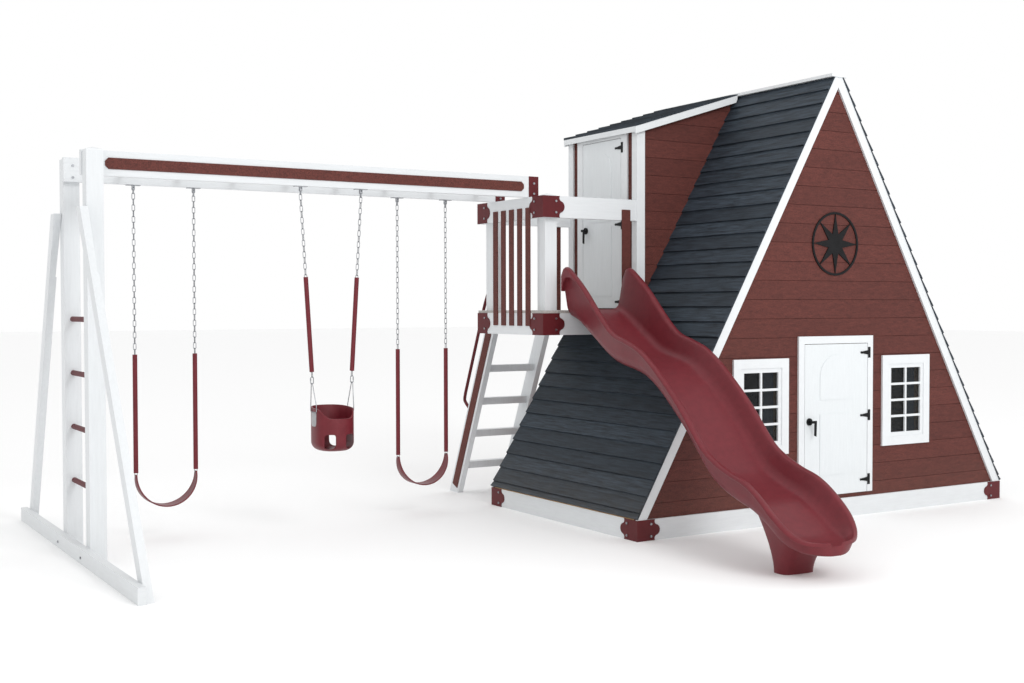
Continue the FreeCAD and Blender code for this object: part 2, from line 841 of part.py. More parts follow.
def dormer_wall(cheeks):
    y0, y1 = dormer_y0, dormer_y1
    d0, d1, sill, head = upper_door_opening()
    x = -dormer_wall_x
    t = trim_thickness
    top = dormer_eave_height - sheathing_thickness / math.cos(dormer_slope)
    boards = []
    gable_top = roof_foot_z + (foot_x + x + wall_stack) * math.tan(slope)
    gable_end = box(-foot_x, 0, stud_rear_y - 0.4, rear_y + roof_board_overhang + 0.4,
                    0, gable_top)
    for low, high in siding_courses(wall_foot_z, top):
        for a, b in ((y0 + t + siding_thickness, d0), (d1, y1 - t - siding_thickness)):
            board = wall_course(a, b, low, high)
            boards.append(board.cut(gable_end) if low < gable_top and b > rear_y else board)
    boards.append(box(x + t, x + t + siding_thickness, d0, d1, wall_foot_z, sill))
    boards.append(box(x + t, x + t + siding_thickness, d0, d1, head, top))
    save("dormer_siding", cheeks + boards)
    # corner boards: one on the door wall and one on the cheek at each end
    trims = []
    for edge, inward in ((y0, 1), (y1, -1)):
        inner = edge + inward * corner_trim_width
        outline = left_of_roof(rect(x, x + t, wall_foot_z, top), roof_board_butt + 0.5)
        trims.append(plate_xz(outline, min(edge, inner), max(edge, inner)))
        face = edge + inward * t
        outline = rect(x + t, x + t + cheek_trim_width, wall_foot_z, ridge_height)
        outline = left_of_roof(under_dormer(outline, sheathing_thickness), roof_board_butt + 0.5)
        trims.append(plate_xz(outline, min(edge, face), max(edge, face)))
    # studs and plates behind the wall
    s0, s1 = x + t + siding_thickness, x + wall_stack
    frame_y0 = y0 + t + siding_thickness
    frame_y1 = stud_rear_y
    studs = [box(s0, s1, frame_y0, d0 - 2, wall_foot_z, wall_foot_z + stud_width),
             box(s0, s1, d1 + 2, frame_y1, wall_foot_z, wall_foot_z + stud_width)]
    plate_z = top - rafter_width - dormer_rafter_depth
    for a in (frame_y0, d0 - 2 - stud_width, d1 + 2, frame_y1 - stud_width):
        studs.append(box(s0, s1, a, a + stud_width, wall_foot_z + stud_width, plate_z))
    studs.append(box(s0, s1, frame_y0, frame_y1, plate_z, plate_z + rafter_width))
    # framing of the rear cheek, outside the rear gable
    out_y0, out_y1 = rear_y, y1 - t - siding_thickness
    studs.append(box(s0, s1, out_y0 + roof_board_overhang, out_y1, wall_foot_z, plate_z))
    sill = rect(s1, -ridge_cap_width, wall_foot_z, ridge_height)
    sill = under_dormer(left_of_roof(sill, -rear_cheek_reach + cheek_lap), sheathing_thickness)
    reach = (foot_x * math.sin(slope) + roof_foot_z * math.cos(slope)
             - rear_cheek_reach + 20 + stud_width)
    sill = clip(sill, -math.sin(slope), math.cos(slope), reach)
    studs.append(plate_xz(sill, out_y0, out_y1))
    top_rail = dormer_strip(s1, -ridge_cap_width, sheathing_thickness,
                            sheathing_thickness + dormer_rafter_depth)
    top_rail = left_of_roof(top_rail, -rear_cheek_reach + cheek_lap + stud_width)
    studs.append(plate_xz(top_rail, out_y0 + roof_board_overhang, out_y1))
    return trims, studs


def dormer_strip(x0, x1, drop0, drop1):
    """Outline of a strip that follows the dormer roof between two drops below its top."""
    c = math.cos(dormer_slope)

    def at(x, drop):
        z = dormer_eave_height + (x + dormer_wall_x) * math.tan(dormer_slope)
        return (x, z - drop / c)

    return [at(x0, drop0), at(x0, drop1), at(x1, drop1), at(x1, drop0)]


def dormer_roof():
    eave = -dormer_wall_x - dormer_overhang
    top_x = -ridge_cap_width / 2
    y0 = dormer_y0 - dormer_overhang
    y1 = dormer_y1 + trim_thickness
    # lap boards from the eave up to the ridge cap
    c = math.cos(dormer_slope)
    boards = []
    run = 0.0
    total = (top_x - eave) / c
    while run < total - least_course:
        end = min(run + roof_board_exposure, total)
        a, b = eave + run * c, eave + end * c
        low = dormer_strip(a, b, 0, 0)
        outline = [low[0], (low[0][0], low[0][1] + roof_board_butt / c),
                   (low[2][0], low[2][1] + roof_board_tip / c), low[2]]
        boards.append(plate_xz(outline, y0 - 3, y1 + 3))
        run = end
    save("dormer_roof_boards", boards)
    sheet = dormer_strip(eave + trim_thickness, top_x, 0, sheathing_thickness)
    save("dormer_sheathing", [plate_xz(sheet, y0 + trim_thickness, dormer_y1)])
    # rafters from the wall plate to the ridge beam
    outline = dormer_strip(-dormer_wall_x + trim_thickness + siding_thickness,
                           -rafter_width / 2, sheathing_thickness,
                           sheathing_thickness + dormer_rafter_depth)
    outline = clip(outline, 0, 1, ridge_height)
    made = []
    frame_y0 = dormer_y0 + trim_thickness + siding_thickness
    last = stud_rear_y - rafter_width
    for i in range(4):
        y = frame_y0 + i * (last - frame_y0) / 3
        made.append(plate_xz(outline, y, y + rafter_width))
    # fascia under the eave and rake boards on both ends
    t = trim_thickness
    rake0 = dormer_strip(eave, top_x, 0, dormer_rake_width)
    rake0 = left_of_roof(rake0, roof_board_butt + 0.5)
    face = dormer_strip(eave, eave + t, 0, dormer_fascia_height)
    rear_rake = dormer_strip(eave, top_x, 0, dormer_rake_width)
    fascia = [plate_xz(rake0, y0, y0 + t), plate_xz(face, y0 + t, dormer_y1),
              plate_xz(rear_rake, dormer_y1, y1)]
    return made, fascia


def upper_door():
    y0, y1, z0, z1 = upper_door_opening()
    x = -dormer_wall_x
    t = trim_thickness
    c = upper_casing_width
    top = dormer_eave_height - sheathing_thickness / math.cos(dormer_slope)
    casing = [box(x, x + t, y0 - c, y0, wall_foot_z, top),
              box(x, x + t, y1, y1 + c, wall_foot_z, top),
              box(x, x + t, y0, y1, z1, top)]
    # the leaf is drawn facing -Y about the origin and turned to face -X
    span = upper_leaf_width
    panels = upper_panel_rises
    leaf = door_leaf(0, span, 0.5, upper_leaf_height, 1, panels)
    corner = (x, y1 - door_gap, z0)
    save("upper_door_leaf", [place(leaf, corner, -90)])
    plates, straps = [], []
    for z in upper_hinge_rises:
        plate, strap = tee_hinge()
        plates.append(place(plate, (x, y0 - 2, z0 + z), -90))
        straps.append(place(strap, (x - 0.2, y0 - 1.6, z0 + z), -90))
    rose, lever = lever_handle()
    spot = (x + 1, y1 - door_gap - door_handle_inset, z0 + upper_handle_rise)
    save("upper_door_hardware", straps + [place(rose, spot, -90)])
    save("upper_door_lever", [place(lever, spot, -90)])
    return casing, plates


# ---------------------------------------------------------------- corner brackets and bolts
def bracket_leg(height):
    """One leg of a corner bracket in its own plane: square part, then a scalloped tip."""
    h = height / 2
    neck = bracket_leg_length + bracket_tip * 0.35
    far = bracket_leg_length + bracket_tip
    p = [Vector(0, 0, -h), Vector(bracket_leg_length, 0, -h), Vector(neck, 0, -h * 0.5),
         Vector(far, 0, 0), Vector(neck, 0, h * 0.5), Vector(bracket_leg_length, 0, h),
         Vector(0, 0, h)]
    low = Vector(bracket_leg_length - 2, 0, -h * 0.66)
    high = Vector(bracket_leg_length - 2, 0, h * 0.66)
    edges = [Part.LineSegment(p[0], p[1]).toShape(), Part.Arc(p[1], low, p[2]).toShape(),
             Part.Arc(p[2], p[3], p[4]).toShape(), Part.Arc(p[4], high, p[5]).toShape(),
             Part.LineSegment(p[5], p[6]).toShape(), Part.LineSegment(p[6], p[0]).toShape()]
    return Part.Face(Part.Wire(edges)).extrude(Vector(0, -bracket_thickness, 0))


def corner_bracket(x, y, z0, height, sx, sy):
    """L bracket around an upright corner; sx and sy point from the corner along its walls."""
    z = z0 + height / 2
    along_x = bracket_leg(height)
    along_y = bracket_leg(height)
    along_y.rotate(Vector(0, 0, 0), Vector(0, 0, 1), -90)
    along_y = along_y.mirror(Vector(0, 0, 0), Vector(0, 1, 0))
    corner = box(-bracket_thickness, 0, -bracket_thickness, 0, -height / 2, height / 2)
    made = along_x.fuse([along_y, corner]).removeSplitter()
    if sx < 0:
        made = made.mirror(Vector(0, 0, 0), Vector(1, 0, 0))
    if sy < 0:
        made = made.mirror(Vector(0, 0, 0), Vector(0, 1, 0))
    made.translate(Vector(x, y, z))
    bolts = []
    for dz in (-bracket_bolt_rise, bracket_bolt_rise):
        bx, by = x + sx * bracket_bolt_run, y + sy * bracket_bolt_run
        ox, oy = x - sx * bracket_thickness, y - sy * bracket_thickness
        bolts.append(rod((bx, oy, z + dz), (bx, oy - sy * bolt_head_height, z + dz),
                         bolt_head_radius))
        bolts.append(rod((ox, by, z + dz), (ox - sx * bolt_head_height, by, z + dz),
                         bolt_head_radius))
    return made, bolts


def brackets(neighbours):
    made, bolts = [], []
    spots = [(sx * -foot_x, y, 0, base_timber_height, sx, sy)
             for sx in (1, -1) for y, sy in ((front_y, 1), (rear_y, -1))]
    for z0, height in ((deck_lower_rail_z, deck_lower_rail_height),
                       (deck_upper_rail_z, deck_upper_rail_height)):
        spots.append((deck_x0, deck_y0, z0, height, 1, 1))
        spots.append((deck_x0, deck_y1, z0, height, 1, -1))
    for spot in spots:
        plate, heads = corner_bracket(*spot)
        made.append(plate.cut(neighbours))
        bolts += heads
    save("corner_brackets", made)
    return bolts


# ---------------------------------------------------------------- deck
def deck_rail(y0, y1, z0, height, x_end):
    """Rail along X, its house end cut to the roof boards."""
    outline = rect(deck_post_x0, x_end, z0, z0 + height)
    return plate_xz(left_of_roof(outline, roof_board_butt + 0.5), y0, y1)


def post_cap(x, y, z):
    """Low pyramid on top of a post."""
    base = [Vector(x, y, z), Vector(x + post_size, y, z),
            Vector(x + post_size, y + post_size, z), Vector(x, y + post_size, z)]
    peak = Vector(x + post_size / 2, y + post_size / 2, z + cap_height)
    skirt = box(x, x + post_size, y, y + post_size, z, z + cap_skirt)
    base = [Vector(v.x, v.y, z + cap_skirt) for v in base]
    faces = [Part.Face(Part.makePolygon(base + base[:1]))]
    for a, b in zip(base, base[1:] + base[:1]):
        faces.append(Part.Face(Part.makePolygon([a, b, peak, a])))
    pyramid = Part.Solid(Part.Shell(faces))
    return skirt.fuse(pyramid)


def deck_post_places():
    return [(deck_post_x0, deck_y0 + deck_rail_thickness),
            (deck_post_x0, deck_y1 - deck_rail_thickness - post_size)]


def deck():
    t = deck_rail_thickness
    rails = []
    for z0, height, x_end in ((deck_lower_rail_z, deck_lower_rail_height, deck_x1),
                              (deck_upper_rail_z, deck_upper_rail_height, deck_x1)):
        rails.append(box(deck_x0, deck_post_x0, deck_y0, deck_y1, z0, z0 + height))
        for y0 in (deck_y0, deck_y1 - t):
            rails.append(deck_rail(y0, y0 + t, z0, height, x_end))
    for i in (1, 2):
        y = deck_y0 + i * deck_depth / 3
        rails.append(deck_rail(y, y + t, deck_lower_rail_z, deck_lower_rail_height, deck_x1))
    save("deck_rails", rails)
    top = deck_upper_rail_z + deck_upper_rail_height
    posts, holes, caps = [], [], []
    for x, y in deck_post_places():
        posts.append(box(x, x + post_size, y, y + post_size, deck_lower_rail_z, top))
        holes.append(box(x - 1, x + post_size + 1, y - 1, y + post_size + 1,
                         deck_lower_rail_z, top))
        caps.append(post_cap(x, y, top))
    boards = []
    pitch = (deck_width - deck_house_gap + deck_board_gap) / deck_board_count
    z0 = deck_top_z - deck_board_thickness
    for i in range(deck_board_count):
        x = deck_x0 + i * pitch
        outline = rect(x, x + pitch - deck_board_gap, z0, deck_top_z)
        outline = left_of_roof(outline, roof_board_butt + 0.5)
        board = plate_xz(outline, deck_y0, deck_y1)
        boards.append(board.cut(holes) if x < deck_post_x0 + post_size else board)
    save("deck_boards", boards)
    balusters = []
    middle = (deck_y0 + deck_y1) / 2 + baluster_offset
    for i in range(baluster_count):
        y = middle + (i - (baluster_count - 1) / 2) * baluster_pitch - baluster_width / 2
        balusters.append(box(deck_x0 - baluster_thickness, deck_x0, y, y + baluster_width,
                             baluster_z, baluster_z + baluster_height))
    x = deck_x1 - side_slat_gap
    slat = rect(x - side_slat_width, x, baluster_z, baluster_z + baluster_height)
    slat = left_of_roof(slat, roof_board_butt + 0.5)
    for y in (deck_y0 - baluster_thickness, deck_y1):
        balusters.append(plate_xz(slat, y, y + baluster_thickness))
    save("deck_balusters", balusters)
    return posts, caps, balusters


# ---------------------------------------------------------------- ladder
def stile_edge(z):
    """Y of the stile's front edge at a height."""
    return front_y + ladder_foot_y - ladder_lean * z


def ladder(posts):
    top_z = deck_lower_rail_z + deck_lower_rail_height
    meet_z = (front_y + ladder_foot_y - deck_y1) / ladder_lean
    outline = [(stile_edge(0), 0), (stile_edge(0) + ladder_stile_depth, 0),
               (stile_edge(top_z) + ladder_stile_depth, top_z), (deck_y1, top_z),
               (deck_y1, meet_z)]
    x0 = deck_post_x0 + post_size
    x1 = x0 + ladder_stile_thickness
    x2 = x1 + ladder_inner_width
    stiles = [plate_yz(outline, x0, x1), plate_yz(outline, x2, x2 + ladder_stile_thickness)]
    made = list(stiles)
    for i in range(ladder_rung_count):
        z = ladder_first_rung_z + i * ladder_rung_pitch
        y = stile_edge(z) + ladder_rung_setback
        made.append(box(x1, x2, y, y + ladder_rung_depth,
                        z - ladder_rung_height / 2, z + ladder_rung_height / 2))
    save("ladder_frame", made)
    # cover strip on the outer stile, with a rounded top
    run = Vector(0, -ladder_lean, 1).normalize()
    across = Vector(0, run.z, -run.y)
    middle = Vector(x0, stile_edge(0) + ladder_stile_depth / 2, 0)
    half = ladder_strip_width / 2
    low, high = middle + run * ladder_strip_start, middle + run * ladder_strip_length
    corners = [low + across * half, high + across * half, high + run * half,
               high - across * half, low - across * half]
    edges = [Part.LineSegment(corners[0], corners[1]).toShape(),
             Part.Arc(corners[1], corners[2], corners[3]).toShape(),
             Part.LineSegment(corners[3], corners[4]).toShape(),
             Part.LineSegment(corners[4], corners[0]).toShape()]
    strip = Part.Face(Part.Wire(edges)).extrude(Vector(-inlay_thickness, 0, 0))
    save("ladder_strip", [strip])
    # bent handrail behind the outer stile, from its rear edge up to the deck post
    x = (x0 + x1) / 2
    knee_z, bend_z, shoulder_z = handrail_heights

    def behind(z, standoff):
        return (x, stile_edge(z) + ladder_stile_depth + standoff, z)

    post_x = deck_post_x0 + post_size / 2
    post_y = deck_y1 - deck_rail_thickness
    path = [behind(knee_z - handrail_standoff / 2, -2.0), behind(knee_z, handrail_standoff),
            behind(bend_z, handrail_standoff), behind(shoulder_z, handrail_standoff),
            (post_x, post_y - 4, shoulder_z + handrail_standoff)]
    save("ladder_handrail", [bent_rod(path, handrail_radius).cut(stiles + posts)])
    return stiles


def bent_rod(path, radius):
    """Round rod through points, with balls at the bends."""
    made = rod(path[0], path[1], radius)
    for a, b in zip(path[1:], path[2:]):
        made = made.fuse([rod(a, b, radius), Part.makeSphere(radius, Vector(*a))])
    return made.removeSplitter()


# ---------------------------------------------------------------- swing frame
def end_posts():
    """Corners of the two posts at the far end."""
    return [(-end_post_outer_x, front_y + front_post_y), (-end_post_outer_x, front_y + back_post_y)]


def brace(foot_y, top_y):
    """Sloping brace from the inside of the foot beam to the outside of a post."""
    half_x = brace_thickness / 2
    low = Vector(-end_post_outer_x + half_x + brace_clearance, foot_y, 0)
    high = Vector(-end_post_outer_x - half_x - brace_clearance, top_y, brace_top_z)
    run = high - low
    half = Vector(0, brace_depth / 2 * run.Length / run.z, 0)

    def section(t):
        mid = low + run * t
        ring = [mid - half - Vector(half_x, 0, 0), mid + half - Vector(half_x, 0, 0),
                mid + half + Vector(half_x, 0, 0), mid - half + Vector(half_x, 0, 0)]
        return Part.makePolygon(ring + ring[:1])

    bar = Part.makeLoft([section(0), section(1)], True, True)
    end = Part.makeLoft([section(1), section(1 + brace_end_thickness / run.z)], True, True)
    fit = 0.4
    x0 = -end_post_outer_x
    foot = box(x0 - foot_beam_thickness, x0 + fit, foot_y - cutter_reach, foot_y + cutter_reach,
               0, foot_beam_height + fit)
    post = box(x0 - fit, x0 + post_size, top_y - brace_fit_length, top_y + brace_fit_length,
               brace_top_z - brace_fit_length, brace_top_z + cutter_reach)
    heights = (0, foot_beam_height + 1, brace_top_z - brace_fit_length - 1, brace_top_z + 1)
    slices = [bar.common(box(x0 - cutter_reach, x0 + cutter_reach, foot_y - brace_top_z,
                             foot_y + brace_top_z, z0, z1))
              for z0, z1 in zip(heights, heights[1:])]
    lower, keep, upper = slices[0].cut(foot), slices[1], slices[2].cut(post)
    return lower.fuse([keep, upper]).removeSplitter(), end.cut(post)


def swing_frame():
    x0 = -end_post_outer_x
    posts, caps, bolts = [], [], []
    for x, y in end_posts():
        posts.append(box(x, x + post_size, y, y + post_size, 0, end_post_height))
        caps.append(post_cap(x, y, end_post_height))
    y0 = front_y + foot_beam_front
    foot = box(x0 - foot_beam_thickness, x0, y0, y0 + foot_beam_length, 0, foot_beam_height)
    rung_x = x0 + post_size / 2
    rungs = []
    for i in range(end_rung_count):
        z = end_rung_first_z + i * end_rung_pitch
        rungs.append(rod((rung_x, front_y + front_post_y + post_size, z),
                         (rung_x, front_y + back_post_y, z), end_rung_radius))
    save("end_foot_beam", [foot])
    save("end_rungs", rungs)
    bars, ends = [], []
    inner = post_size / 2
    for foot_y, top_y in ((y0 + brace_foot_inset, front_y + front_post_y + inner - brace_depth / 2),
                          (y0 + foot_beam_length - brace_foot_inset,
                           front_y + back_post_y + inner + brace_depth / 2)):
        bar, end = brace(foot_y, top_y)
        bars.append(bar)
        ends.append(end)
    save("end_braces", bars)
    for y in (front_y + front_post_y + inner, front_y + back_post_y + inner):
        side = x0 - foot_beam_thickness
        bolts.append(rod((side, y, foot_beam_height * 0.4),
                         (side - bolt_head_height, y, foot_beam_height * 0.4), bolt_head_radius))
    t, h = beam_thickness, beam_height
    beams = [box(x0 - beam_overrun, -beam_end_x, y, y + t, beam_z, beam_z + h)
             for y in (front_beam_y, back_beam_y)]
    save("swing_beams", beams)
    mid_z = beam_z + h / 2
    half = inlay_height / 2
    a, b = -end_post_outer_x + inlay_inset_far, -beam_end_x - inlay_inset_near
    tip = half * 0.6
    strip = [(a, mid_z - half + tip), (a + tip, mid_z - half), (b - tip, mid_z - half),
             (b, mid_z - half + tip), (b, mid_z + half - tip), (b - tip, mid_z + half),
             (a + tip, mid_z + half), (a, mid_z + half - tip)]
    save("beam_inlay", [plate_xz(strip, front_beam_y - inlay_thickness, front_beam_y)])
    plates = []
    for y in (front_beam_y, back_beam_y):
        plates.append(box(-beam_end_x - end_plate_width, -beam_end_x, y - bracket_thickness, y,
                          beam_z, beam_z + h))
        for z in (beam_z + h * 0.18, beam_z + h * 0.67):
            head_y = y - bracket_thickness
            x = -beam_end_x - end_plate_width / 2
            bolts.append(rod((x, head_y, z), (x, head_y - bolt_head_height, z),
                             bolt_head_radius))
            far = rung_x
            if y == back_beam_y:
                bolts.append(rod((far, y, z), (far, y - bolt_head_height, z), bolt_head_radius))
    save("beam_end_plates", plates)
    bars = []
    for i in range(monkey_bar_count):
        x = -beam_end_x - monkey_bar_first - i * monkey_bar_pitch
        bars.append(rod((x, front_beam_y + t, mid_z), (x, back_beam_y, mid_z), monkey_bar_radius))
    save("monkey_bars", bars)
    return posts, caps, ends, bolts


# ---------------------------------------------------------------- swings
def hanger(x, y):
    """Plate under a beam with two ears and a pin along X."""
    half = hanger_plate_length / 2
    side = hanger_plate_width / 2
    t = hanger_plate_thickness
    plate = box(x - half, x + half, y - side, y + side, beam_z - t, beam_z)
    ears = []
    for sx in (-1, 1):
        ex = x + sx * (pendulum_thickness / 2 + 0.5)
        a, b = sorted((ex, ex + sx * t))
        block = box(a, b, y - hanger_ear_radius, y + hanger_ear_radius, pin_z, beam_z - t)
        nose = rod((a, y, pin_z), (b, y, pin_z), hanger_ear_radius)
        ears.append(block.fuse(nose))
    reach = pendulum_thickness / 2 + 0.5 + t + 2
    pin = rod((x - reach, y, pin_z), (x + reach, y, pin_z), swing_pin_radius)
    return plate.fuse(ears + [pin]).removeSplitter()


def pendulum(x, y):
    """Eye plate that swings on the pin and holds the first link."""
    half = pendulum_thickness / 2
    web_z = pin_z - pendulum_drop
    body = box(x - half, x + half, y - pendulum_radius, y + pendulum_radius, web_z, pin_z)
    for z in (web_z, pin_z):
        body = body.fuse(rod((x - half, y, z), (x + half, y, z), pendulum_radius))
    bore = rod((x - half - 1, y, pin_z), (x + half + 1, y, pin_z),
               swing_pin_radius + swing_pin_clearance)
    hole = rod((x - half - 1, y, web_z), (x + half + 1, y, web_z), link_hole_radius)
    return body.cut([bore, hole]).removeSplitter()


def link(length, width, wire, flat_to_y):
    """Flat stadium ring about the origin, long in Z."""
    def stadium(straight, radius):
        p = [Vector(-radius, 0, -straight), Vector(-radius, 0, straight),
             Vector(0, 0, straight + radius), Vector(radius, 0, straight),
             Vector(radius, 0, -straight), Vector(0, 0, -straight - radius)]
        return Part.Wire([Part.LineSegment(p[0], p[1]).toShape(),
                          Part.Arc(p[1], p[2], p[3]).toShape(),
                          Part.LineSegment(p[3], p[4]).toShape(),
                          Part.Arc(p[4], p[5], p[0]).toShape()])

    outer = width / 2
    straight = length / 2 - outer
    face = Part.Face([stadium(straight, outer), stadium(straight, outer - wire)])
    ring = face.extrude(Vector(0, wire, 0))
    ring.translate(Vector(0, -wire / 2, 0))
    if not flat_to_y:
        ring.rotate(Vector(0, 0, 0), Vector(0, 0, 1), 90)
    return ring


def chain(low, high, count, first_flat_to_y):
    """Links between the centres of the lowest and the highest one."""
    run = Vector(*high) - Vector(*low)
    pitch = run.Length / (count - 1)
    tilt = math.degrees(math.atan2(run.x, run.z))
    length = pitch + chain_slack + 2 * chain_wire
    made = []
    for i in range(count):
        ring = link(length, chain_link_width, chain_wire, (i % 2 == 0) == first_flat_to_y)
        ring.rotate(Vector(0, 0, 0), Vector(0, 1, 0), tilt)
        ring.translate(Vector(*low) + run * (i / (count - 1)))
        made.append(ring)
    return made


def tube(low, high, radius, wall):
    """Plain tube between two points."""
    return rod(low, high, radius).cut(rod(low, high, radius - wall))


def belt_seat(x, y):
    """U-shaped belt, widest at the bottom, with a holed tab at each end."""
    outer = belt_swing_width / 2 + belt_thickness / 2
    inner = outer - belt_thickness
    centre_z = belt_bottom_z + outer
    half = belt_width / 2

    def disc(radius):
        return Part.makeCylinder(radius, belt_width, Vector(x, y - half, centre_z),
                                 Vector(0, 1, 0))

    below = box(x - outer - 5, x + outer + 5, y - half - 5, y + half + 5,
                belt_bottom_z - 5, centre_z)
    band = disc(outer).cut(disc(inner)).common(below)
    tabs = [box(x + sx * (inner + outer) / 2 - belt_thickness / 2,
                x + sx * (inner + outer) / 2 + belt_thickness / 2,
                y - half, y + half, centre_z, centre_z + belt_tab) for sx in (-1, 1)]
    narrow = belt_end_width / 2
    top = centre_z + belt_tab
    side = [(y - half, belt_bottom_z - 5), (y + half, belt_bottom_z - 5),
            (y + half, belt_bottom_z + 12), (y + narrow * 1.5, centre_z - 70),
            (y + narrow, centre_z - 10), (y + narrow * 0.8, top - 6), (y + narrow * 0.5, top),
            (y - narrow * 0.5, top), (y - narrow * 0.8, top - 6), (y - narrow, centre_z - 10),
            (y - narrow * 1.5, centre_z - 70), (y - half, belt_bottom_z + 12)]
    seat = band.fuse(tabs).removeSplitter().common(plate_yz(side, x - 300, x + 300))
    hole_z = top - belt_hole_drop
    return seat.cut(rod((x - 300, y, hole_z), (x + 300, y, hole_z), belt_hole_radius)), hole_z


def belt_swing(node, x):
    y = back_beam_y + beam_thickness / 2
    seat, hole_z = belt_seat(x, y)
    half = belt_swing_width / 2
    inner = (chain_pitch + chain_slack) / 2
    low_z = hole_z + belt_hole_radius - tab_seat + inner
    high_z = pin_z - pendulum_drop - link_hole_radius + link_seat - inner
    chains, grips, hangers = [], [], []
    for sx in (-1, 1):
        cx = x + sx * half
        chains.append(pendulum(cx, y))
        chains += chain((cx, y, low_z), (cx, y, high_z), belt_link_count, True)
        grips.append(tube((cx, y, belt_grip_bottom_z), (cx, y, belt_grip_top_z),
                          grip_radius, grip_wall))
        hangers.append(hanger(cx, y))
    save(node + "_chains", chains)
    save(node + "_grips", grips)
    save(node + "_seat", [seat])
    return hangers


def bucket_shell(x, y):
    """Full bucket seat with leg openings, a centre strap and an arched back."""
    hx, hy = bucket_width / 2, bucket_depth / 2
    z0, z1 = bucket_bottom_z, bucket_bottom_z + bucket_back_height
    w = bucket_wall

    def block(grow, top):
        body = box(x - hx - grow, x + hx + grow, y - hy - grow, y + hy + grow, z0 - grow, top)
        upright = [e for e in body.Edges if abs(e.Vertexes[0].Z - e.Vertexes[1].Z) > 10]
        body = body.makeFillet(bucket_corner_radius + grow, upright)
        low = [e for e in body.Edges if e.BoundBox.ZMax < z0 - grow + 1]
        return body.makeFillet(bucket_floor_radius + grow, low)

    shell = block(0, z1).cut(block(-w, z1 + 50))
    front_z = z0 + bucket_front_height
    rise = [(y - hy - 5, front_z), (y - hy + 30, front_z), (y - hy + 75, z1 - 22),
            (y + hy - 60, z1 - 12), (y + hy - 25, z1 - 2), (y + hy + 5, z1 + 1),
            (y + hy + 5, z1 + 60), (y - hy - 5, z1 + 60)]
    shell = shell.cut(plate_yz(rise, x - 300, x + 300))
    holes = []
    strap = bucket_strap_width / 2
    band_z = front_z - bucket_band_height
    for sx in (-1, 1):
        a, b = sorted((x + sx * strap, x + sx * (hx - bucket_hole_inset)))
        for y0, y1 in ((y - hy - 5, y - hy + 70), (y + hy - 70, y + hy + 5)):
            hole = box(a, b, y0, y1, z0 + bucket_hole_rise, band_z)
            corners = [e for e in hole.Edges
                       if abs(e.Vertexes[0].Y - e.Vertexes[1].Y) > 10]
            holes.append(hole.makeFillet(bucket_hole_radius, corners))
    return shell.cut(holes)


def bucket_swing():
    x, y = -bucket_swing_centre, front_beam_y + beam_thickness / 2
    node = "bucket_swing"
    inner = (chain_pitch + chain_slack) / 2
    high_z = pin_z - pendulum_drop - link_hole_radius + link_seat - inner
    chains, grips, pads, hangers = [], [], [], []
    low_z = bucket_chain_bottom_z
    hx = bucket_width / 2
    for sx in (-1, 1):
        top_x = x + sx * bucket_top_width / 2
        low_x = x + sx * bucket_chain_bottom_width / 2
        low, high = (low_x, y, low_z), (top_x, y, high_z)
        chains.append(pendulum(top_x, y))
        chains += chain(low, high, bucket_link_count, False)
        along = (Vector(*high) - Vector(*low)).normalize()
        ends = [Vector(*low) + along * (z - low_z) / along.z
                for z in (bucket_grip_bottom_z, bucket_grip_top_z)]
        grips.append(tube(tuple(ends[0]), tuple(ends[1]), grip_radius, grip_wall))
        hangers.append(hanger(top_x, y))
        clip_z = low_z - inner - clip_length / 2 + clip_wire + link_seat
        ring = link(clip_length, clip_width, clip_wire, True)
        ring.translate(Vector(low_x, y, clip_z))
        chains.append(ring)
        wire = bucket_wire_radius
        apex_z = clip_z - clip_length / 2 + clip_wire + wire + 0.3
        out_x = x + sx * (hx + wire + 0.2)
        base_z = bucket_wire_foot_z
        half = bucket_wire_spread / 2
        bend_z = base_z + bucket_wire_upright
        path = [(low_x, y + 9, apex_z), (out_x, y + half, bend_z), (out_x, y + half, base_z),
                (out_x, y - half, base_z), (out_x, y - half, bend_z), (low_x, y - 9, apex_z)]
        loop = bent_rod(path, wire).fuse(
            [rod(path[5], path[0], wire), Part.makeSphere(wire, Vector(*path[0])),
             Part.makeSphere(wire, Vector(*path[5]))]).removeSplitter()
        chains.append(loop)
        outside = x + sx * hx
        half_pad = bucket_pad_width / 2
        a, b = sorted((outside, outside + sx * bucket_pad_thickness))
        pad = box(a, b, y - half_pad, y + half_pad,
                  base_z - bucket_pad_height - wire, base_z - wire)
        pads.append(pad)
    save(node + "_chains", chains)
    save(node + "_grips", grips)
    save(node + "_pads", pads)
    save(node + "_seat", [bucket_shell(x, y)])
    return hangers


# ---------------------------------------------------------------- slide
def profile(points, s):
    """Smooth height at a run, through a few points (Hermite curve, limited slopes)."""
    last = len(points) - 1

    def grade(i):
        if i == 0:
            return (points[1][1] - points[0][1]) / (points[1][0] - points[0][0])
        if i == last:
            return (points[last][1] - points[last - 1][1]) / (points[last][0] - points[last - 1][0])
        return (points[i + 1][1] - points[i - 1][1]) / (points[i + 1][0] - points[i - 1][0])

    i = 0
    while i < last - 1 and s > points[i + 1][0]:
        i += 1
    (s0, z0), (s1, z1) = points[i], points[i + 1]
    h = s1 - s0
    t = (s - s0) / h
    return ((2 * t ** 3 - 3 * t ** 2 + 1) * z0 + (t ** 3 - 2 * t ** 2 + t) * h * grade(i)
            + (3 * t ** 2 - 2 * t ** 3) * z1 + (t ** 3 - t ** 2) * h * grade(i + 1))


def slide_narrowing(s):
    """Share of the full width: the end is rounded in plan."""
    if s <= slide_end_start:
        return 1.0
    t = (s - slide_end_start) / (slide_length + 2 - slide_end_start)
    return (1 - t ** slide_end_power) ** (1 / slide_end_power)


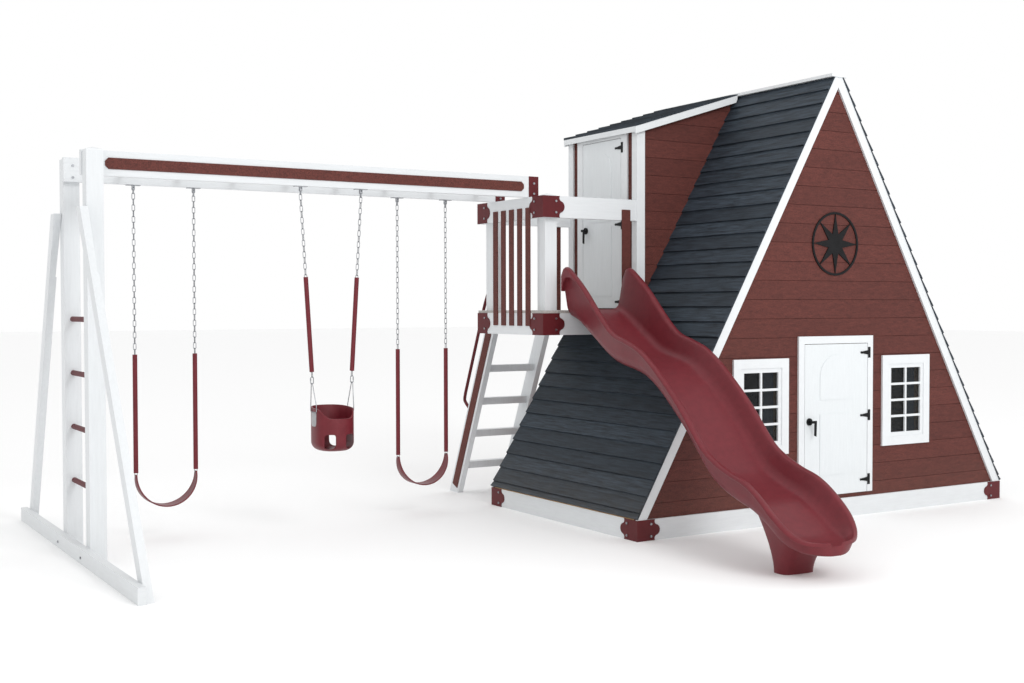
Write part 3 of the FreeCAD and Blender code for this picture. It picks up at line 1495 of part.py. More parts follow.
def slide_half(s):
    """Right half of the section: bed, inner wall, rolled rim, recessed side, belly."""
    crest = profile(slide_crest, s)
    bed = profile(slide_bed, s)
    belly = bed - slide_belly_depth
    rim = slide_width / 2
    top = rim - slide_rim_width
    foot = slide_bed_width / 2
    side = top + slide_wall
    low = slide_belly_width / 2
    wall = crest - bed
    depth = crest - belly
    hood = slide_hood_drop * max(0.0, 1 - s / slide_hood_length) ** 2
    drop = crest - min(slide_rim_drop, depth * 0.3) - hood
    half = [(foot - 34, bed), (foot - 10, bed + min(8, wall * 0.15)),
            (foot + 3, bed + min(30, wall * 0.5)), (top - 3, crest - min(12, wall * 0.25)),
            (top + 5, crest - 2), (rim - 9, crest), (rim, crest - 9), (rim, drop), (side, drop),
            (low, belly + min(62, depth * 0.5)), (low - 12, belly + min(26, depth * 0.25)),
            (low - 38, belly + 6), (low - 70, belly)]
    return [(across * slide_narrowing(s), z) for across, z in half]


def slide_point(across, s, z):
    """Point from the slide's own axes to the set's."""
    turn = math.radians(slide_turn)
    x = -slide_centre_x + across * math.cos(turn) - s * math.sin(turn)
    y = deck_y0 - s * math.cos(turn) - across * math.sin(turn)
    return Vector(x, y, z)


def slide():
    rings = []
    for i in range(slide_stations):
        s = slide_start + (slide_length - slide_start) * math.sin(
            math.pi / 2 * i / (slide_stations - 1))
        right = slide_half(s)
        left = [(-a, z) for a, z in reversed(right)]
        ring = [slide_point(a, s, z) for a, z in right + left]
        rings.append(Part.makePolygon(ring + ring[:1]))
    chute = Part.makeLoft(rings, True, True)
    t = slide_wall
    half = slide_bed_width / 2 - 10
    lip = [slide_point(a, s, deck_top_z) for a, s in
           ((-half, -slide_entry_back), (half, -slide_entry_back),
            (half, slide_start + 4), (-half, slide_start + 4))]
    tongue = Part.Face(Part.makePolygon(lip + lip[:1])).extrude(Vector(0, 0, t))
    rings = []
    for t in (0.0, 0.12, 0.3, 0.5, 0.7, 0.85, 1.0):
        grow = t ** slide_foot_flare
        ring = []
        for i in range(slide_foot_corners):
            turn = 2 * math.pi * i / slide_foot_corners
            across, along = (math.copysign(abs(v) ** slide_foot_squareness, v)
                             for v in (math.cos(turn), math.sin(turn)))
            mid, length, width = (low + (high - low) * grow for low, high in
                                  zip(slide_foot_low, slide_foot_high))
            s = mid + along * length
            top = slide_foot_seat - (s - slide_foot_high[0]) * slide_foot_seat_slope
            ring.append(slide_point(across * width, s, top * t))
        rings.append(Part.makePolygon(ring + ring[:1]))
    foot = Part.makeLoft(rings, True, True)
    save("slide", [chute.fuse([tongue, foot]).removeSplitter()])


def main():
    floor_joists = base_frame()
    floors(floor_joists)
    rafter_set = rafters()
    roof()
    rake_trims()
    gable_studs = gable_walls()
    lower_casing, lower_plates = lower_door()
    windows()
    gable_ornament()
    trims, dormer_studs = dormer_wall(dormer_cheeks())
    dormer_rafter_set, fascia = dormer_roof()
    upper_casing, upper_plates = upper_door()
    save("roof_frame", rafter_set + dormer_rafter_set)
    save("wall_studs", gable_studs + dormer_studs)
    save("door_casings", lower_casing + upper_casing)
    save("door_hinge_plates", lower_plates + upper_plates)
    save("dormer_trims", trims + fascia)
    posts, caps, balusters = deck()
    stiles = ladder(posts)
    bolts = brackets(balusters + stiles)
    far_posts, far_caps, brace_ends, frame_bolts = swing_frame()
    save("posts", posts + far_posts)
    save("post_caps", caps + far_caps)
    save("brace_caps", brace_ends)
    save("bolts", bolts + frame_bolts)
    hangers = []
    for node, x in zip(("belt_swing_left", "belt_swing_right"), belt_swing_centres):
        hangers += belt_swing(node, -x)
    save("swing_hangers", hangers + bucket_swing())
    slide()


main()
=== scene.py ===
# %% [markdown]
# # A-frame playhouse swing set
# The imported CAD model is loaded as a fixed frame. Every board, post and rail of the real set is already
# there at its true size, so this lesson only gives them their finishes and remakes the few pieces whose
# curves flat CAD faces can't show: the slide, the belts, the chains, the handrail and the curtains.

# %% Load the frame
import math

import bmesh
import bpy
from mathutils import Matrix, Quaternion, Vector


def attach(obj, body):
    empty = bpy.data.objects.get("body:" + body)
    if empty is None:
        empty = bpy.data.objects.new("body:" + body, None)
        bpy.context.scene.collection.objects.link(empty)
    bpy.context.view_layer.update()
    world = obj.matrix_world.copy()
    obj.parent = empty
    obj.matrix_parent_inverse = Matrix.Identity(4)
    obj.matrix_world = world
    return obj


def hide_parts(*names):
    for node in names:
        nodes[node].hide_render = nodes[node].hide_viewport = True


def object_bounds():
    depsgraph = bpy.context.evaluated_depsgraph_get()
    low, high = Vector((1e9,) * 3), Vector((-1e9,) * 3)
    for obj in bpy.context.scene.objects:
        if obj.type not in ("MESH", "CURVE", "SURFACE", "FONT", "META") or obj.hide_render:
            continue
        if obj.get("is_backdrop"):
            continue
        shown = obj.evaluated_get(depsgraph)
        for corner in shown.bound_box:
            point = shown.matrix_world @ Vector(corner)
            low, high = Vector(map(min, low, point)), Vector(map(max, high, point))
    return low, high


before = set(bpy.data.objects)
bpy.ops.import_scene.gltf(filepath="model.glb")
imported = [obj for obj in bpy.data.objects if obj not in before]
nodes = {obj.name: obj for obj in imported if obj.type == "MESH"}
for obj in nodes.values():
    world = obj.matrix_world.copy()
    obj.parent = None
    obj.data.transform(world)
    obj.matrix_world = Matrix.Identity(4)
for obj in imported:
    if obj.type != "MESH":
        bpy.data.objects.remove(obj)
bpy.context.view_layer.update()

# %% [markdown]
# ## Shader groups
# Vinyl sleeves, embossed cladding and moulded plastic all get the same three things: a grain or a
# speckle, boards that differ a little from each other, and a patchy darker tone near the ground. Each
# effect could be drawn again in every material, but a node group keeps them alike and lets a material only
# say how strong each one is.

# %% Helpers that open a node tree and place its commonest nodes
def open_tree(name, tree_kind, inputs, outputs):
    """A new node tree, with the sockets that it is given and the ones that it fills."""
    tree = bpy.data.node_groups.new(name, tree_kind)
    for label, kind, value in inputs:
        socket = tree.interface.new_socket(name=label, in_out="INPUT", socket_type=kind)
        if value is not None:
            socket.default_value = value
    for label, kind in outputs:
        tree.interface.new_socket(name=label, in_out="OUTPUT", socket_type=kind)
    return tree, tree.nodes.new("NodeGroupInput").outputs, tree.nodes.new("NodeGroupOutput").inputs


def math_node(tree, operation, first, second=None, clamp=False):
    """One Math node's result; an argument is a socket or a number."""
    node = tree.nodes.new("ShaderNodeMath")
    node.operation = operation
    node.use_clamp = clamp
    for socket, value in zip(node.inputs, (first, second)):
        if value is None:
            continue
        if isinstance(value, (int, float)):
            socket.default_value = value
        else:
            tree.links.new(value, socket)
    return node.outputs[0]


def noise(tree, vector, scale, detail=4.0, roughness=0.6, distortion=0.0):
    """One Noise Texture, returning its value."""
    node = tree.nodes.new("ShaderNodeTexNoise")
    node.inputs["Scale"].default_value = scale
    node.inputs["Detail"].default_value = detail
    node.inputs["Roughness"].default_value = roughness
    node.inputs["Distortion"].default_value = distortion
    tree.links.new(vector, node.inputs["Vector"])
    return node.outputs["Fac"]


# %% Grain, stretched along a board
grain_group, source, sink = open_tree(
    "board grain", "ShaderNodeTree",
    [("Vector", "NodeSocketVector", None), ("Stretch", "NodeSocketVector", (8.0, 8.0, 120.0))],
    [("Grain", "NodeSocketFloat"), ("Speckle", "NodeSocketFloat"), ("Blotch", "NodeSocketFloat")])
stretched = grain_group.nodes.new("ShaderNodeVectorMath")
stretched.operation = "MULTIPLY"
grain_group.links.new(source["Vector"], stretched.inputs[0])
grain_group.links.new(source["Stretch"], stretched.inputs[1])
grain_group.links.new(noise(grain_group, stretched.outputs[0], 1.0, 6.0, 0.62, 0.35), sink["Grain"])
grain_group.links.new(noise(grain_group, source["Vector"], 310.0, 2.0, 0.7), sink["Speckle"])
grain_group.links.new(noise(grain_group, source["Vector"], 1.6, 3.0, 0.5), sink["Blotch"])
print("group:", grain_group.name)

# %% A tint that changes from board to board
course_group, source, sink = open_tree(
    "board tint", "ShaderNodeTree",
    [("Vector", "NodeSocketVector", None), ("Across", "NodeSocketVector", (0.0, 0.0, 1.0)),
     ("Start", "NodeSocketFloat", 0.0), ("Pitch", "NodeSocketFloat", 0.1365)],
    [("Tint", "NodeSocketFloat")])
along = course_group.nodes.new("ShaderNodeVectorMath")
along.operation = "DOT_PRODUCT"
course_group.links.new(source["Vector"], along.inputs[0])
course_group.links.new(source["Across"], along.inputs[1])
count = math_node(course_group, "DIVIDE",
                  math_node(course_group, "SUBTRACT", along.outputs["Value"], source["Start"]),
                  source["Pitch"])
white = course_group.nodes.new("ShaderNodeTexWhiteNoise")
white.noise_dimensions = "1D"
course_group.links.new(math_node(course_group, "FLOOR", count), white.inputs["W"])
course_group.links.new(white.outputs["Value"], sink["Tint"])
print("group:", course_group.name)

# %% Darker near the ground
darkening_group, source, sink = open_tree(
    "ground darkening", "ShaderNodeTree",
    [("Vector", "NodeSocketVector", None), ("Height", "NodeSocketFloat", 0.45)],
    [("Darkening", "NodeSocketFloat")])
split = darkening_group.nodes.new("ShaderNodeSeparateXYZ")
darkening_group.links.new(source["Vector"], split.inputs[0])
# a patchy mask that grows towards the ground, where the colour is mixed towards a brownish tone
spots = noise(darkening_group, source["Vector"], 9.0, 5.0, 0.7)
patchy = math_node(darkening_group, "MULTIPLY", spots, 1.5)
level = math_node(darkening_group, "DIVIDE", split.outputs["Z"], source["Height"])
low = math_node(darkening_group, "SUBTRACT", 1.0, level, clamp=True)
darkening_group.links.new(math_node(darkening_group, "MULTIPLY", low, patchy, clamp=True), sink["Darkening"])
print("group:", darkening_group.name)

# %% [markdown]
# ## Finishes
# Each finish is one Principled BSDF. Grain moves the colour between a dark and a light tone and lifts the
# surface a little through a Bump node, so the boards catch the light unevenly as embossed vinyl does.

# %% Helpers that make one finish and put it on
blotch_share = 0.25
tint_gain = 2.5
bump_strength = 0.6
specular_level = 0.3
grain_low, grain_high = 0.36, 0.64


def srgb(red, green, blue):
    """Colour from 0-255 display values to the linear values that a shader takes."""
    def linear(value):
        value /= 255
        return value / 12.92 if value <= 0.04045 else ((value + 0.055) / 1.055) ** 2.4
    return (linear(red), linear(green), linear(blue), 1.0)


# the brownish tone that each finish turns towards near the ground
darkening_colour = srgb(120, 108, 92)


def mix_colour(tree, factor, first, second):
    """One Mix node on colours."""
    node = tree.nodes.new("ShaderNodeMix")
    node.data_type = "RGBA"
    factor_socket, first_socket, second_socket = node.inputs[0], node.inputs[6], node.inputs[7]
    for socket, value in ((factor_socket, factor), (first_socket, first), (second_socket, second)):
        if isinstance(value, (int, float, tuple)):
            socket.default_value = value
        else:
            tree.links.new(value, socket)
    return node.outputs[2]


def group_node(tree, group, vector, **values):
    """A group placed in a material, with its own values."""
    node = tree.nodes.new("ShaderNodeGroup")
    node.node_tree = group
    tree.links.new(vector, node.inputs["Vector"])
    for label, value in values.items():
        node.inputs[label].default_value = value
    return node.outputs


def finish(name, dark, light, stretch=(9.0, 9.0, 9.0), roughness=(0.45, 0.65), relief=0.0004,
           speckle=0.25, ground_darkening=0.1, boards=None, tint=0.0, metallic=0.0, coat=0.0):
    """A grained, speckled finish; boards is (across, start, pitch) where courses differ."""
    material = bpy.data.materials.new(name)
    material.use_nodes = True
    tree = material.node_tree
    shader = tree.nodes["Principled BSDF"]
    place = tree.nodes.new("ShaderNodeTexCoord").outputs["Object"]
    grain = group_node(tree, grain_group, place, Stretch=stretch)
    tone = math_node(tree, "ADD", math_node(tree, "MULTIPLY", grain["Grain"], 1.0 - speckle),
                     math_node(tree, "MULTIPLY", grain["Speckle"], speckle))
    contrast = tree.nodes.new("ShaderNodeMapRange")
    contrast.inputs["From Min"].default_value = grain_low
    contrast.inputs["From Max"].default_value = grain_high
    tree.links.new(tone, contrast.inputs["Value"])
    colour = mix_colour(tree, contrast.outputs["Result"], dark, light)
    blotch = math_node(tree, "MULTIPLY", grain["Blotch"], blotch_share)
    shade = mix_colour(tree, blotch, colour, dark)
    if boards:
        across, start, pitch = boards
        course = group_node(tree, course_group, place, Across=across, Start=start, Pitch=pitch)
        amount = math_node(tree, "MULTIPLY", course["Tint"], tint * tint_gain)
        shade = mix_colour(tree, amount, shade, dark)
    # the colour turns patchily darker and browner towards the ground
    low_darkening = group_node(tree, darkening_group, place)
    amount = math_node(tree, "MULTIPLY", low_darkening["Darkening"], ground_darkening)
    shade = mix_colour(tree, amount, shade, darkening_colour)
    tree.links.new(shade, shader.inputs["Base Color"])
    rough = tree.nodes.new("ShaderNodeMapRange")
    rough.inputs["To Min"].default_value, rough.inputs["To Max"].default_value = roughness
    tree.links.new(tone, rough.inputs["Value"])
    tree.links.new(rough.outputs["Result"], shader.inputs["Roughness"])
    bump = tree.nodes.new("ShaderNodeBump")
    bump.inputs["Strength"].default_value = bump_strength
    bump.inputs["Distance"].default_value = relief
    tree.links.new(tone, bump.inputs["Height"])
    tree.links.new(bump.outputs["Normal"], shader.inputs["Normal"])
    shader.inputs["Metallic"].default_value = metallic
    shader.inputs["Coat Weight"].default_value = coat
    shader.inputs["Specular IOR Level"].default_value = specular_level
    return material


def put_on(material, *names):
    """Give CAD nodes a finish through their objects' material slots."""
    for name in names:
        for slot in nodes[name].material_slots:
            slot.link = "OBJECT"
            slot.material = material
    print(material.name, "on", len(names), "nodes")


# %% Cladding, roof and trim
brown_dark, brown_light = srgb(48, 20, 18), srgb(124, 66, 58)
slate_dark, slate_light = srgb(22, 29, 36), srgb(66, 77, 88)
slate_grain = (95.0, 5.0, 60.0)
slate_look = {"roughness": (0.5, 0.75), "relief": 0.0012, "speckle": 0.2, "tint": 0.2}
upwards, along_beams = (0.0, 0.0, 1.0), (1.0, 0.0, 0.0)
# where the first board of each kind starts, and how far apart the boards are along the direction above
siding_start, siding_pitch = 0.242, 0.1365
roof_pitch = 0.1215 * math.sin(math.radians(59.85))
roof_start = 0.145 + roof_pitch * 0.378
dormer_start, dormer_pitch = -1.08, 0.116
cladding = finish("brown cladding", brown_dark, brown_light, (16.0, 16.0, 60.0),
                  roughness=(0.6, 0.85), relief=0.0009, speckle=0.8,
                  boards=(upwards, siding_start, siding_pitch), tint=0.07)
put_on(cladding, "gable_siding", "dormer_siding")
slate = finish("slate roof boards", slate_dark, slate_light, slate_grain, ground_darkening=0.2,
               boards=(upwards, roof_start, roof_pitch), **slate_look)
put_on(slate, "roof_boards")
dormer_slate = finish("slate dormer boards", slate_dark, slate_light, slate_grain, ground_darkening=0.0,
                      boards=(along_beams, dormer_start, dormer_pitch), **slate_look)
put_on(dormer_slate, "dormer_roof_boards")
trim = finish("white trim", srgb(216, 219, 221), srgb(224, 227, 229), (14.0, 14.0, 14.0),
              roughness=(0.35, 0.5), relief=0.00015, speckle=0.6, ground_darkening=0.06)
put_on(trim, "rake_trims", "door_casings", "window_casings", "window_sashes", "dormer_trims",
       "ridge_cap", "post_caps", "brace_caps")

# %% Vinyl sleeves on posts, rails and beams
vinyl_dark, vinyl_light = srgb(213, 216, 218), srgb(221, 224, 226)
vinyl_look = {"roughness": (0.34, 0.46), "relief": 0.00012, "speckle": 0.4, "ground_darkening": 0.06}
upright_vinyl = finish("upright vinyl", vinyl_dark, vinyl_light, (60.0, 60.0, 5.0), **vinyl_look)
put_on(upright_vinyl, "posts", "ladder_frame", "end_braces")
level_vinyl = finish("level vinyl", vinyl_dark, vinyl_light, (6.0, 6.0, 70.0), **vinyl_look)
put_on(level_vinyl, "base_frame", "swing_beams", "deck_rails", "end_foot_beam")

# %% Timber inside, and the deck boards
timber = finish("sawn timber", srgb(150, 112, 72), srgb(206, 170, 122), (40.0, 9.0, 40.0),
                roughness=(0.6, 0.85), relief=0.0006, speckle=0.15)
put_on(timber, "floor_boards", "floor_joists", "roof_frame", "roof_sheathing", "dormer_sheathing",
       "wall_studs")
decking = finish("deck vinyl", srgb(150, 146, 142), srgb(196, 192, 188), (70.0, 5.0, 70.0),
                 roughness=(0.5, 0.7), relief=0.0006)
put_on(decking, "deck_boards")

# %% Doors, metal and plastic
door_skin = finish("door skin", srgb(214, 218, 220), srgb(222, 226, 228), (70.0, 70.0, 6.0),
                   roughness=(0.35, 0.5), relief=0.0002, speckle=0.5, ground_darkening=0.06)
put_on(door_skin, "lower_door_leaf", "upper_door_leaf")
iron = finish("black iron", srgb(14, 14, 15), srgb(38, 38, 40), roughness=(0.4, 0.6), relief=0.0002,
              speckle=0.6, ground_darkening=0.0, metallic=0.6)
put_on(iron, "door_hinge_plates", "lower_door_hardware", "upper_door_hardware", "lower_door_lever",
       "upper_door_lever", "gable_ornament")
maroon = finish("maroon plastic", srgb(94, 24, 33), srgb(116, 36, 45), (22.0, 22.0, 22.0),
                roughness=(0.34, 0.5), relief=0.00025, speckle=0.6, ground_darkening=0.03, coat=0.05)
maroon_metal = finish("maroon enamel", srgb(78, 16, 22), srgb(98, 26, 32), roughness=(0.48, 0.62),
                      relief=0.0001, speckle=0.6, ground_darkening=0.03)
put_on(maroon_metal, "corner_brackets", "beam_end_plates", "end_rungs", "monkey_bars")
strip_finish = finish("brown strip", brown_dark, brown_light, (30.0, 30.0, 30.0),
                      roughness=(0.6, 0.8), relief=0.0006, speckle=0.85, ground_darkening=0.05)
put_on(strip_finish, "beam_inlay", "ladder_strip", "deck_balusters")
zinc = finish("zinc steel", srgb(128, 130, 134), srgb(190, 192, 196), (60.0, 60.0, 60.0),
              roughness=(0.25, 0.45), relief=0.0001, speckle=0.5, ground_darkening=0.0, metallic=0.9)
put_on(zinc, "bolts", "swing_hangers")
put_on(maroon, "belt_swing_left_grips", "belt_swing_right_grips", "bucket_swing_grips")
grey_plastic = finish("grey plastic", srgb(150, 150, 152), srgb(180, 180, 182),
                      roughness=(0.4, 0.55))

# %% [markdown]
# ## Window glass
# The panes are dark and hardly let the curtain show. Alpha lets some light through without the long
# render time of refraction, and a low roughness keeps the sky's reflection sharp.

# %% Dark panes
glass = finish("dark glass", srgb(16, 19, 22), srgb(26, 30, 34), roughness=(0.04, 0.08), relief=0.0,
               speckle=0.1, ground_darkening=0.0)
glass_alpha = 0.45
glass.node_tree.nodes["Principled BSDF"].inputs["Alpha"].default_value = glass_alpha
put_on(glass, "window_panes")

# %% [markdown]
# ## Mesh helpers
# Several pieces are one outline carried along a path, such as the slide and the belts. A loft of rings
# gives full control of the edge rounding and needs no modifiers.

# %% Objects, and rings to a closed mesh
def new_object(name, data):
    """An object for some data, in the scene."""
    made = bpy.data.objects.new(name, data)
    bpy.context.scene.collection.objects.link(made)
    return made


def evaluated_mesh(made):
    """A plain mesh of an object with its modifiers or its curve's bevel applied."""
    depsgraph = bpy.context.evaluated_depsgraph_get()
    return bpy.data.meshes.new_from_object(made.evaluated_get(depsgraph))


def finished(name, mesh, material, body, *replaced):
    """An object for a mesh that is already in place, riding on a body."""
    made = new_object(name, mesh)
    mesh.materials.clear()
    mesh.materials.append(material)
    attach(made, body)
    if replaced:
        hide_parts(*replaced)
    print(name, len(mesh.polygons), "faces on", body)
    return made


def smooth(mesh, angle=35.0):
    """Smooth shading with hard edges above an angle."""
    mesh.shade_smooth()
    mesh.set_sharp_from_angle(angle=math.radians(angle))


def loft(rings, name):
    """Closed mesh through rings of equal length, with capped ends."""
    shape = bmesh.new()
    made = [[shape.verts.new(point) for point in ring] for ring in rings]
    size = len(made[0])
    for first, second in zip(made, made[1:]):
        for i in range(size):
            j = (i + 1) % size
            shape.faces.new((first[i], first[j], second[j], second[i]))
    shape.faces.new(made[0])
    shape.faces.new(made[-1])
    bmesh.ops.recalc_face_normals(shape, faces=shape.faces)
    mesh = bpy.data.meshes.new(name)
    shape.to_mesh(mesh)
    shape.free()
    smooth(mesh)
    return mesh


def rounded(corners, steps=4):
    """Outline with each corner (u, v, radius) eased by a small curve."""
    longest_cut = 0.48
    outline = []
    for i, (u, v, radius) in enumerate(corners):
        corner = Vector((u, v))
        before = Vector(corners[i - 1][:2]) - corner
        after = Vector(corners[(i + 1) % len(corners)][:2]) - corner
        if radius <= 0:
            outline.append(corner)
            continue
        cut_before = before.normalized() * min(radius, before.length * longest_cut)
        cut_after = after.normalized() * min(radius, after.length * longest_cut)
        for k in range(steps + 1):
            f = k / steps
            outline.append(corner + cut_before * (1 - f) ** 2 + cut_after * f ** 2)
    return outline


def join_meshes(name, meshes):
    """Several meshes as one."""
    shape = bmesh.new()
    for mesh in meshes:
        shape.from_mesh(mesh)
    joined = bpy.data.meshes.new(name)
    shape.to_mesh(joined)
    shape.free()
    smooth(joined)
    return joined


# %% [markdown]
# ## The slide
# The real slide is one hollow moulding: a flat bed between walls that end in rolled rims, with two waves
# on the way down. Its rim and bed heights follow two smooth curves through a few heights, the same ones
# that the CAD uses, so a section is drawn at each step of the run and all of them are lofted.

# %% Sizes of the slide
slide_top = Vector((-1.445, 1.0055))
slide_turn = math.radians(4.5)
slide_run = (0.025, 2.668)
slide_end_start, slide_end_power = 2.380, 2.4
slide_end_gap = 0.002
hood_drop, hood_length = 0.120, 0.260
rim_drop = 0.026
shell_depth = 0.055
# half widths of a section, from the edge of the flat bed out to the rolled rim and in again underneath
bed_half, wall_foot, wall_top, rim_inner, rim_outer = .170, .203, .242, .252, .290
lip_half, side_half, belly_half = .256, .235, .200
# heights of the rim above the ground at points along the run
crest_points = ((.025, 1.795), (.045, 1.830), (.075, 1.848), (.145, 1.815), (.326, 1.691), (.588, 1.468),
                (.727, 1.376), (.890, 1.329), (1.047, 1.277), (1.224, 1.173), (1.514, .946),
                (1.763, .704), (1.894, .628), (2.041, .575), (2.184, .536), (2.302, .477),
                (2.455, .368), (2.560, .284), (2.620, .248), (2.670, .232))
# and of the bed
bed_points = ((.025, 1.539), (.145, 1.500), (.326, 1.400), (.588, 1.255), (.727, 1.210),
              (.890, 1.180), (1.047, 1.135), (1.224, 1.035), (1.514, .805), (1.763, .565),
              (1.894, .490), (2.041, .440), (2.184, .400), (2.302, .345), (2.455, .255),
              (2.560, .222), (2.670, .212))


def height_at(points, run):
    """Smooth height through a few points."""
    last = len(points) - 1

    def grade(i):
        a, b = points[max(i - 1, 0)], points[min(i + 1, last)]
        return (b[1] - a[1]) / (b[0] - a[0])

    i = 0
    while i < last - 1 and run > points[i + 1][0]:
        i += 1
    (s0, z0), (s1, z1) = points[i], points[i + 1]
    h = s1 - s0
    t = (run - s0) / h
    return ((2 * t ** 3 - 3 * t ** 2 + 1) * z0 + (t ** 3 - 2 * t ** 2 + t) * h * grade(i)
            + (3 * t ** 2 - 2 * t ** 3) * z1 + (t ** 3 - t ** 2) * h * grade(i + 1))


def slide_place(across, run, height):
    """A point in the slide's own directions, in the set's frame."""
    x = slide_top.x + across * math.cos(slide_turn) - run * math.sin(slide_turn)
    y = slide_top.y - run * math.cos(slide_turn) - across * math.sin(slide_turn)
    return Vector((x, y, height))


# %% Loft the chute
def narrowing(run):
    """Share of the full width; the lower end is rounded in plan."""
    if run <= slide_end_start:
        return 1.0
    t = (run - slide_end_start) / (slide_run[1] + slide_end_gap - slide_end_start)
    return (1 - t ** slide_end_power) ** (1 / slide_end_power)


def slide_ring(run):
    """Section at one point of the run: bed, walls, rolled rims and belly."""
    crest, bed = height_at(crest_points, run), height_at(bed_points, run)
    belly = bed - shell_depth
    wall, depth = crest - bed, crest - belly
    hood = hood_drop * max(0.0, 1 - run / hood_length) ** 2
    drop = crest - min(rim_drop, depth * 0.3) - hood
    right = [(bed_half, bed, .03), (wall_foot, bed + min(.030, wall * .45), .03),
             (wall_top, crest - min(.016, wall * .2), .014), (rim_inner, crest, .016),
             (rim_outer, crest, .016), (rim_outer, drop, .008), (lip_half, drop, .005),
             (side_half, belly + min(.055, depth * .4), .03), (belly_half, belly, .04)]
    left = [(-u, v, r) for u, v, r in reversed(right)]
    share = narrowing(run)
    return [slide_place(p.x * share, run, p.y) for p in rounded(right + left)]


def rounded_oval(steps, power):
    """Unit outline between an ellipse (power 1) and a square (power 0)."""
    outline = []
    for i in range(steps):
        turn = 2 * math.pi * i / steps
        outline.append([math.copysign(abs(c) ** power, c) for c in (math.cos(turn), math.sin(turn))])
    return outline


# sections lie closer together towards the lower end, where the plan is rounded
steps = 150
first, last = slide_run
chute = loft([slide_ring(first + (last - first) * math.sin(math.pi / 2 * i / steps))
              for i in range(steps + 1)], "chute")

# the tongue that rests on the deck
tongue_half, tongue_start, tongue_end, tongue_low, tongue_high = 0.190, -0.040, 0.029, 1.530, 1.539
tongue_outline = rounded([(-tongue_half, tongue_start, 0.012), (tongue_half, tongue_start, 0.012),
                          (tongue_half, tongue_end, 0.012), (-tongue_half, tongue_end, 0.012)])
tongue = loft([[slide_place(p.x, p.y, z) for p in tongue_outline] for z in (tongue_low, tongue_high)],
              "block")

# the foot flares from the ground up to the belly: middle, half length and half width at each end
foot_low, foot_high = (2.300, 0.068, 0.118), (2.330, 0.235, 0.190)
foot_steps, foot_flare = 16, 1.7
foot_top, foot_slope = 0.296, 0.38
foot_outline = rounded_oval(40, 0.6)
foot_rings = []
for step in range(foot_steps + 1):
    t = step / foot_steps
    middle, length, width = (low + (high - low) * t ** foot_flare for low, high in zip(foot_low, foot_high))
    ring = []
    for across, along in foot_outline:
        run = middle + along * length
        ring.append(slide_place(across * width, run, t * (foot_top - (run - foot_high[0]) * foot_slope)))
    foot_rings.append(ring)
foot = loft(foot_rings, "foot")
slide = finished("slide_moulding", join_meshes("slide_moulding", [chute, tongue, foot]), maroon,
                 "playset_frame", "slide")

# %% [markdown]
# ## Belt seats
# Each belt hangs as half a circle between its chains. It is widest under the sitter and narrows to a tab
# at each end, with a thicker rim along both edges, so the ring that is lofted changes its width on the way.

# %% Sizes shared by the swings
pin_height = 2.342
belt_y = 1.7225
bucket_y = 1.2405
belt_radius = 0.202
belt_centre_height = 0.432
belt_places = (("left", -4.443), ("right", -2.509))
belt_steps = 48
belt_face, belt_groove = 0.0045, 0.003
# half the belt's width at a few heights
belt_widths = ((.22, .063), (.238, .063), (.362, .041), (.422, .0275), (.442, .022), (.449, .014))


def belt_half_width(height):
    """Half the belt's width at a height."""
    for (z0, w0), (z1, w1) in zip(belt_widths, belt_widths[1:]):
        if height <= z1:
            return w0 + (w1 - w0) * max(0.0, height - z0) / (z1 - z0)
    return belt_widths[-1][1]


def belt_mesh(x, name):
    """One belt, lofted from tab to tab."""
    tab_rise, tab_step = 0.016, 0.004
    path = [((-belt_radius, belt_centre_height + tab_rise - tab_step * i), (-1.0, 0.0)) for i in range(4)]
    for i in range(belt_steps + 1):
        turn = math.pi * (1 + i / belt_steps)
        out = (math.cos(turn), math.sin(turn))
        path.append(((belt_radius * out[0], belt_centre_height + belt_radius * out[1]), out))
    path += [((-px, pz), (1.0, 0.0)) for (px, pz), out in reversed(path[:4])]
    rings = []
    for (px, pz), out in path:
        half = belt_half_width(pz)
        rim = min(0.008, half * 0.3)
        inside = rim * 1.6
        ring = [(-half, -belt_face, .003), (-half + rim, -belt_face, .002),
                (-half + inside, -belt_groove, .002), (half - inside, -belt_groove, .002),
                (half - rim, -belt_face, .002), (half, -belt_face, .003),
                (half, belt_face, .003), (-half, belt_face, .003)]
        rings.append([Vector((x + px + out[0] * p.y, belt_y + p.x, pz + out[1] * p.y))
                      for p in rounded(ring, 2)])
    return loft(rings, name)


for side, x in belt_places:
    body = "belt_swing_" + side
    belt = finished(body + "_belt", belt_mesh(x, body + "_belt"), maroon, body, body + "_seat")

# %% [markdown]
# ## Bucket seat
# The toddler's seat is one thick moulding: a band at the front, a higher back, a rounded floor and four
# leg openings with a strap between them. It could be modelled face by face, but cutting a hollow, a top
# line and four openings out of one rounded block keeps every wall the same thickness, and a Bevel
# modifier then softens each cut edge as a mould does.

# %% Rounded block and cutters
bucket_x = -3.4455
bucket_half, bucket_half_depth = 0.135, 0.149
bucket_floor, bucket_front, bucket_back, bucket_wall = 0.587, 0.809, 0.891, 0.008
bucket_floor_radius, bucket_floor_steps = 0.060, 10
bucket_outline = rounded_oval(64, 0.8)
leg_low, leg_high = 0.603, 0.703
strap_half, leg_margin = 0.0355, 0.030


def bucket_block(shrink, top):
    """Block with rounded sides and a rounded floor, smaller by a wall when it is the hollow."""
    ease = bucket_floor_radius - shrink
    levels = []
    for step in range(bucket_floor_steps + 1):
        turn = math.pi / 2 * step / bucket_floor_steps
        levels.append((shrink + ease * (1 - math.sin(turn)),
                       bucket_floor + shrink + ease * (1 - math.cos(turn))))
    levels.append((shrink, top))
    return loft([[Vector((bucket_x + (bucket_half - inset) * u,
                          bucket_y + (bucket_half_depth - inset) * v, z)) for u, v in bucket_outline]
                 for inset, z in levels], "bucket_block")


def prism(outline, low, high, place):
    """Outline carried between two places along the remaining axis."""
    return loft([[place(p, end) for p in outline] for end in (low, high)], "prism")


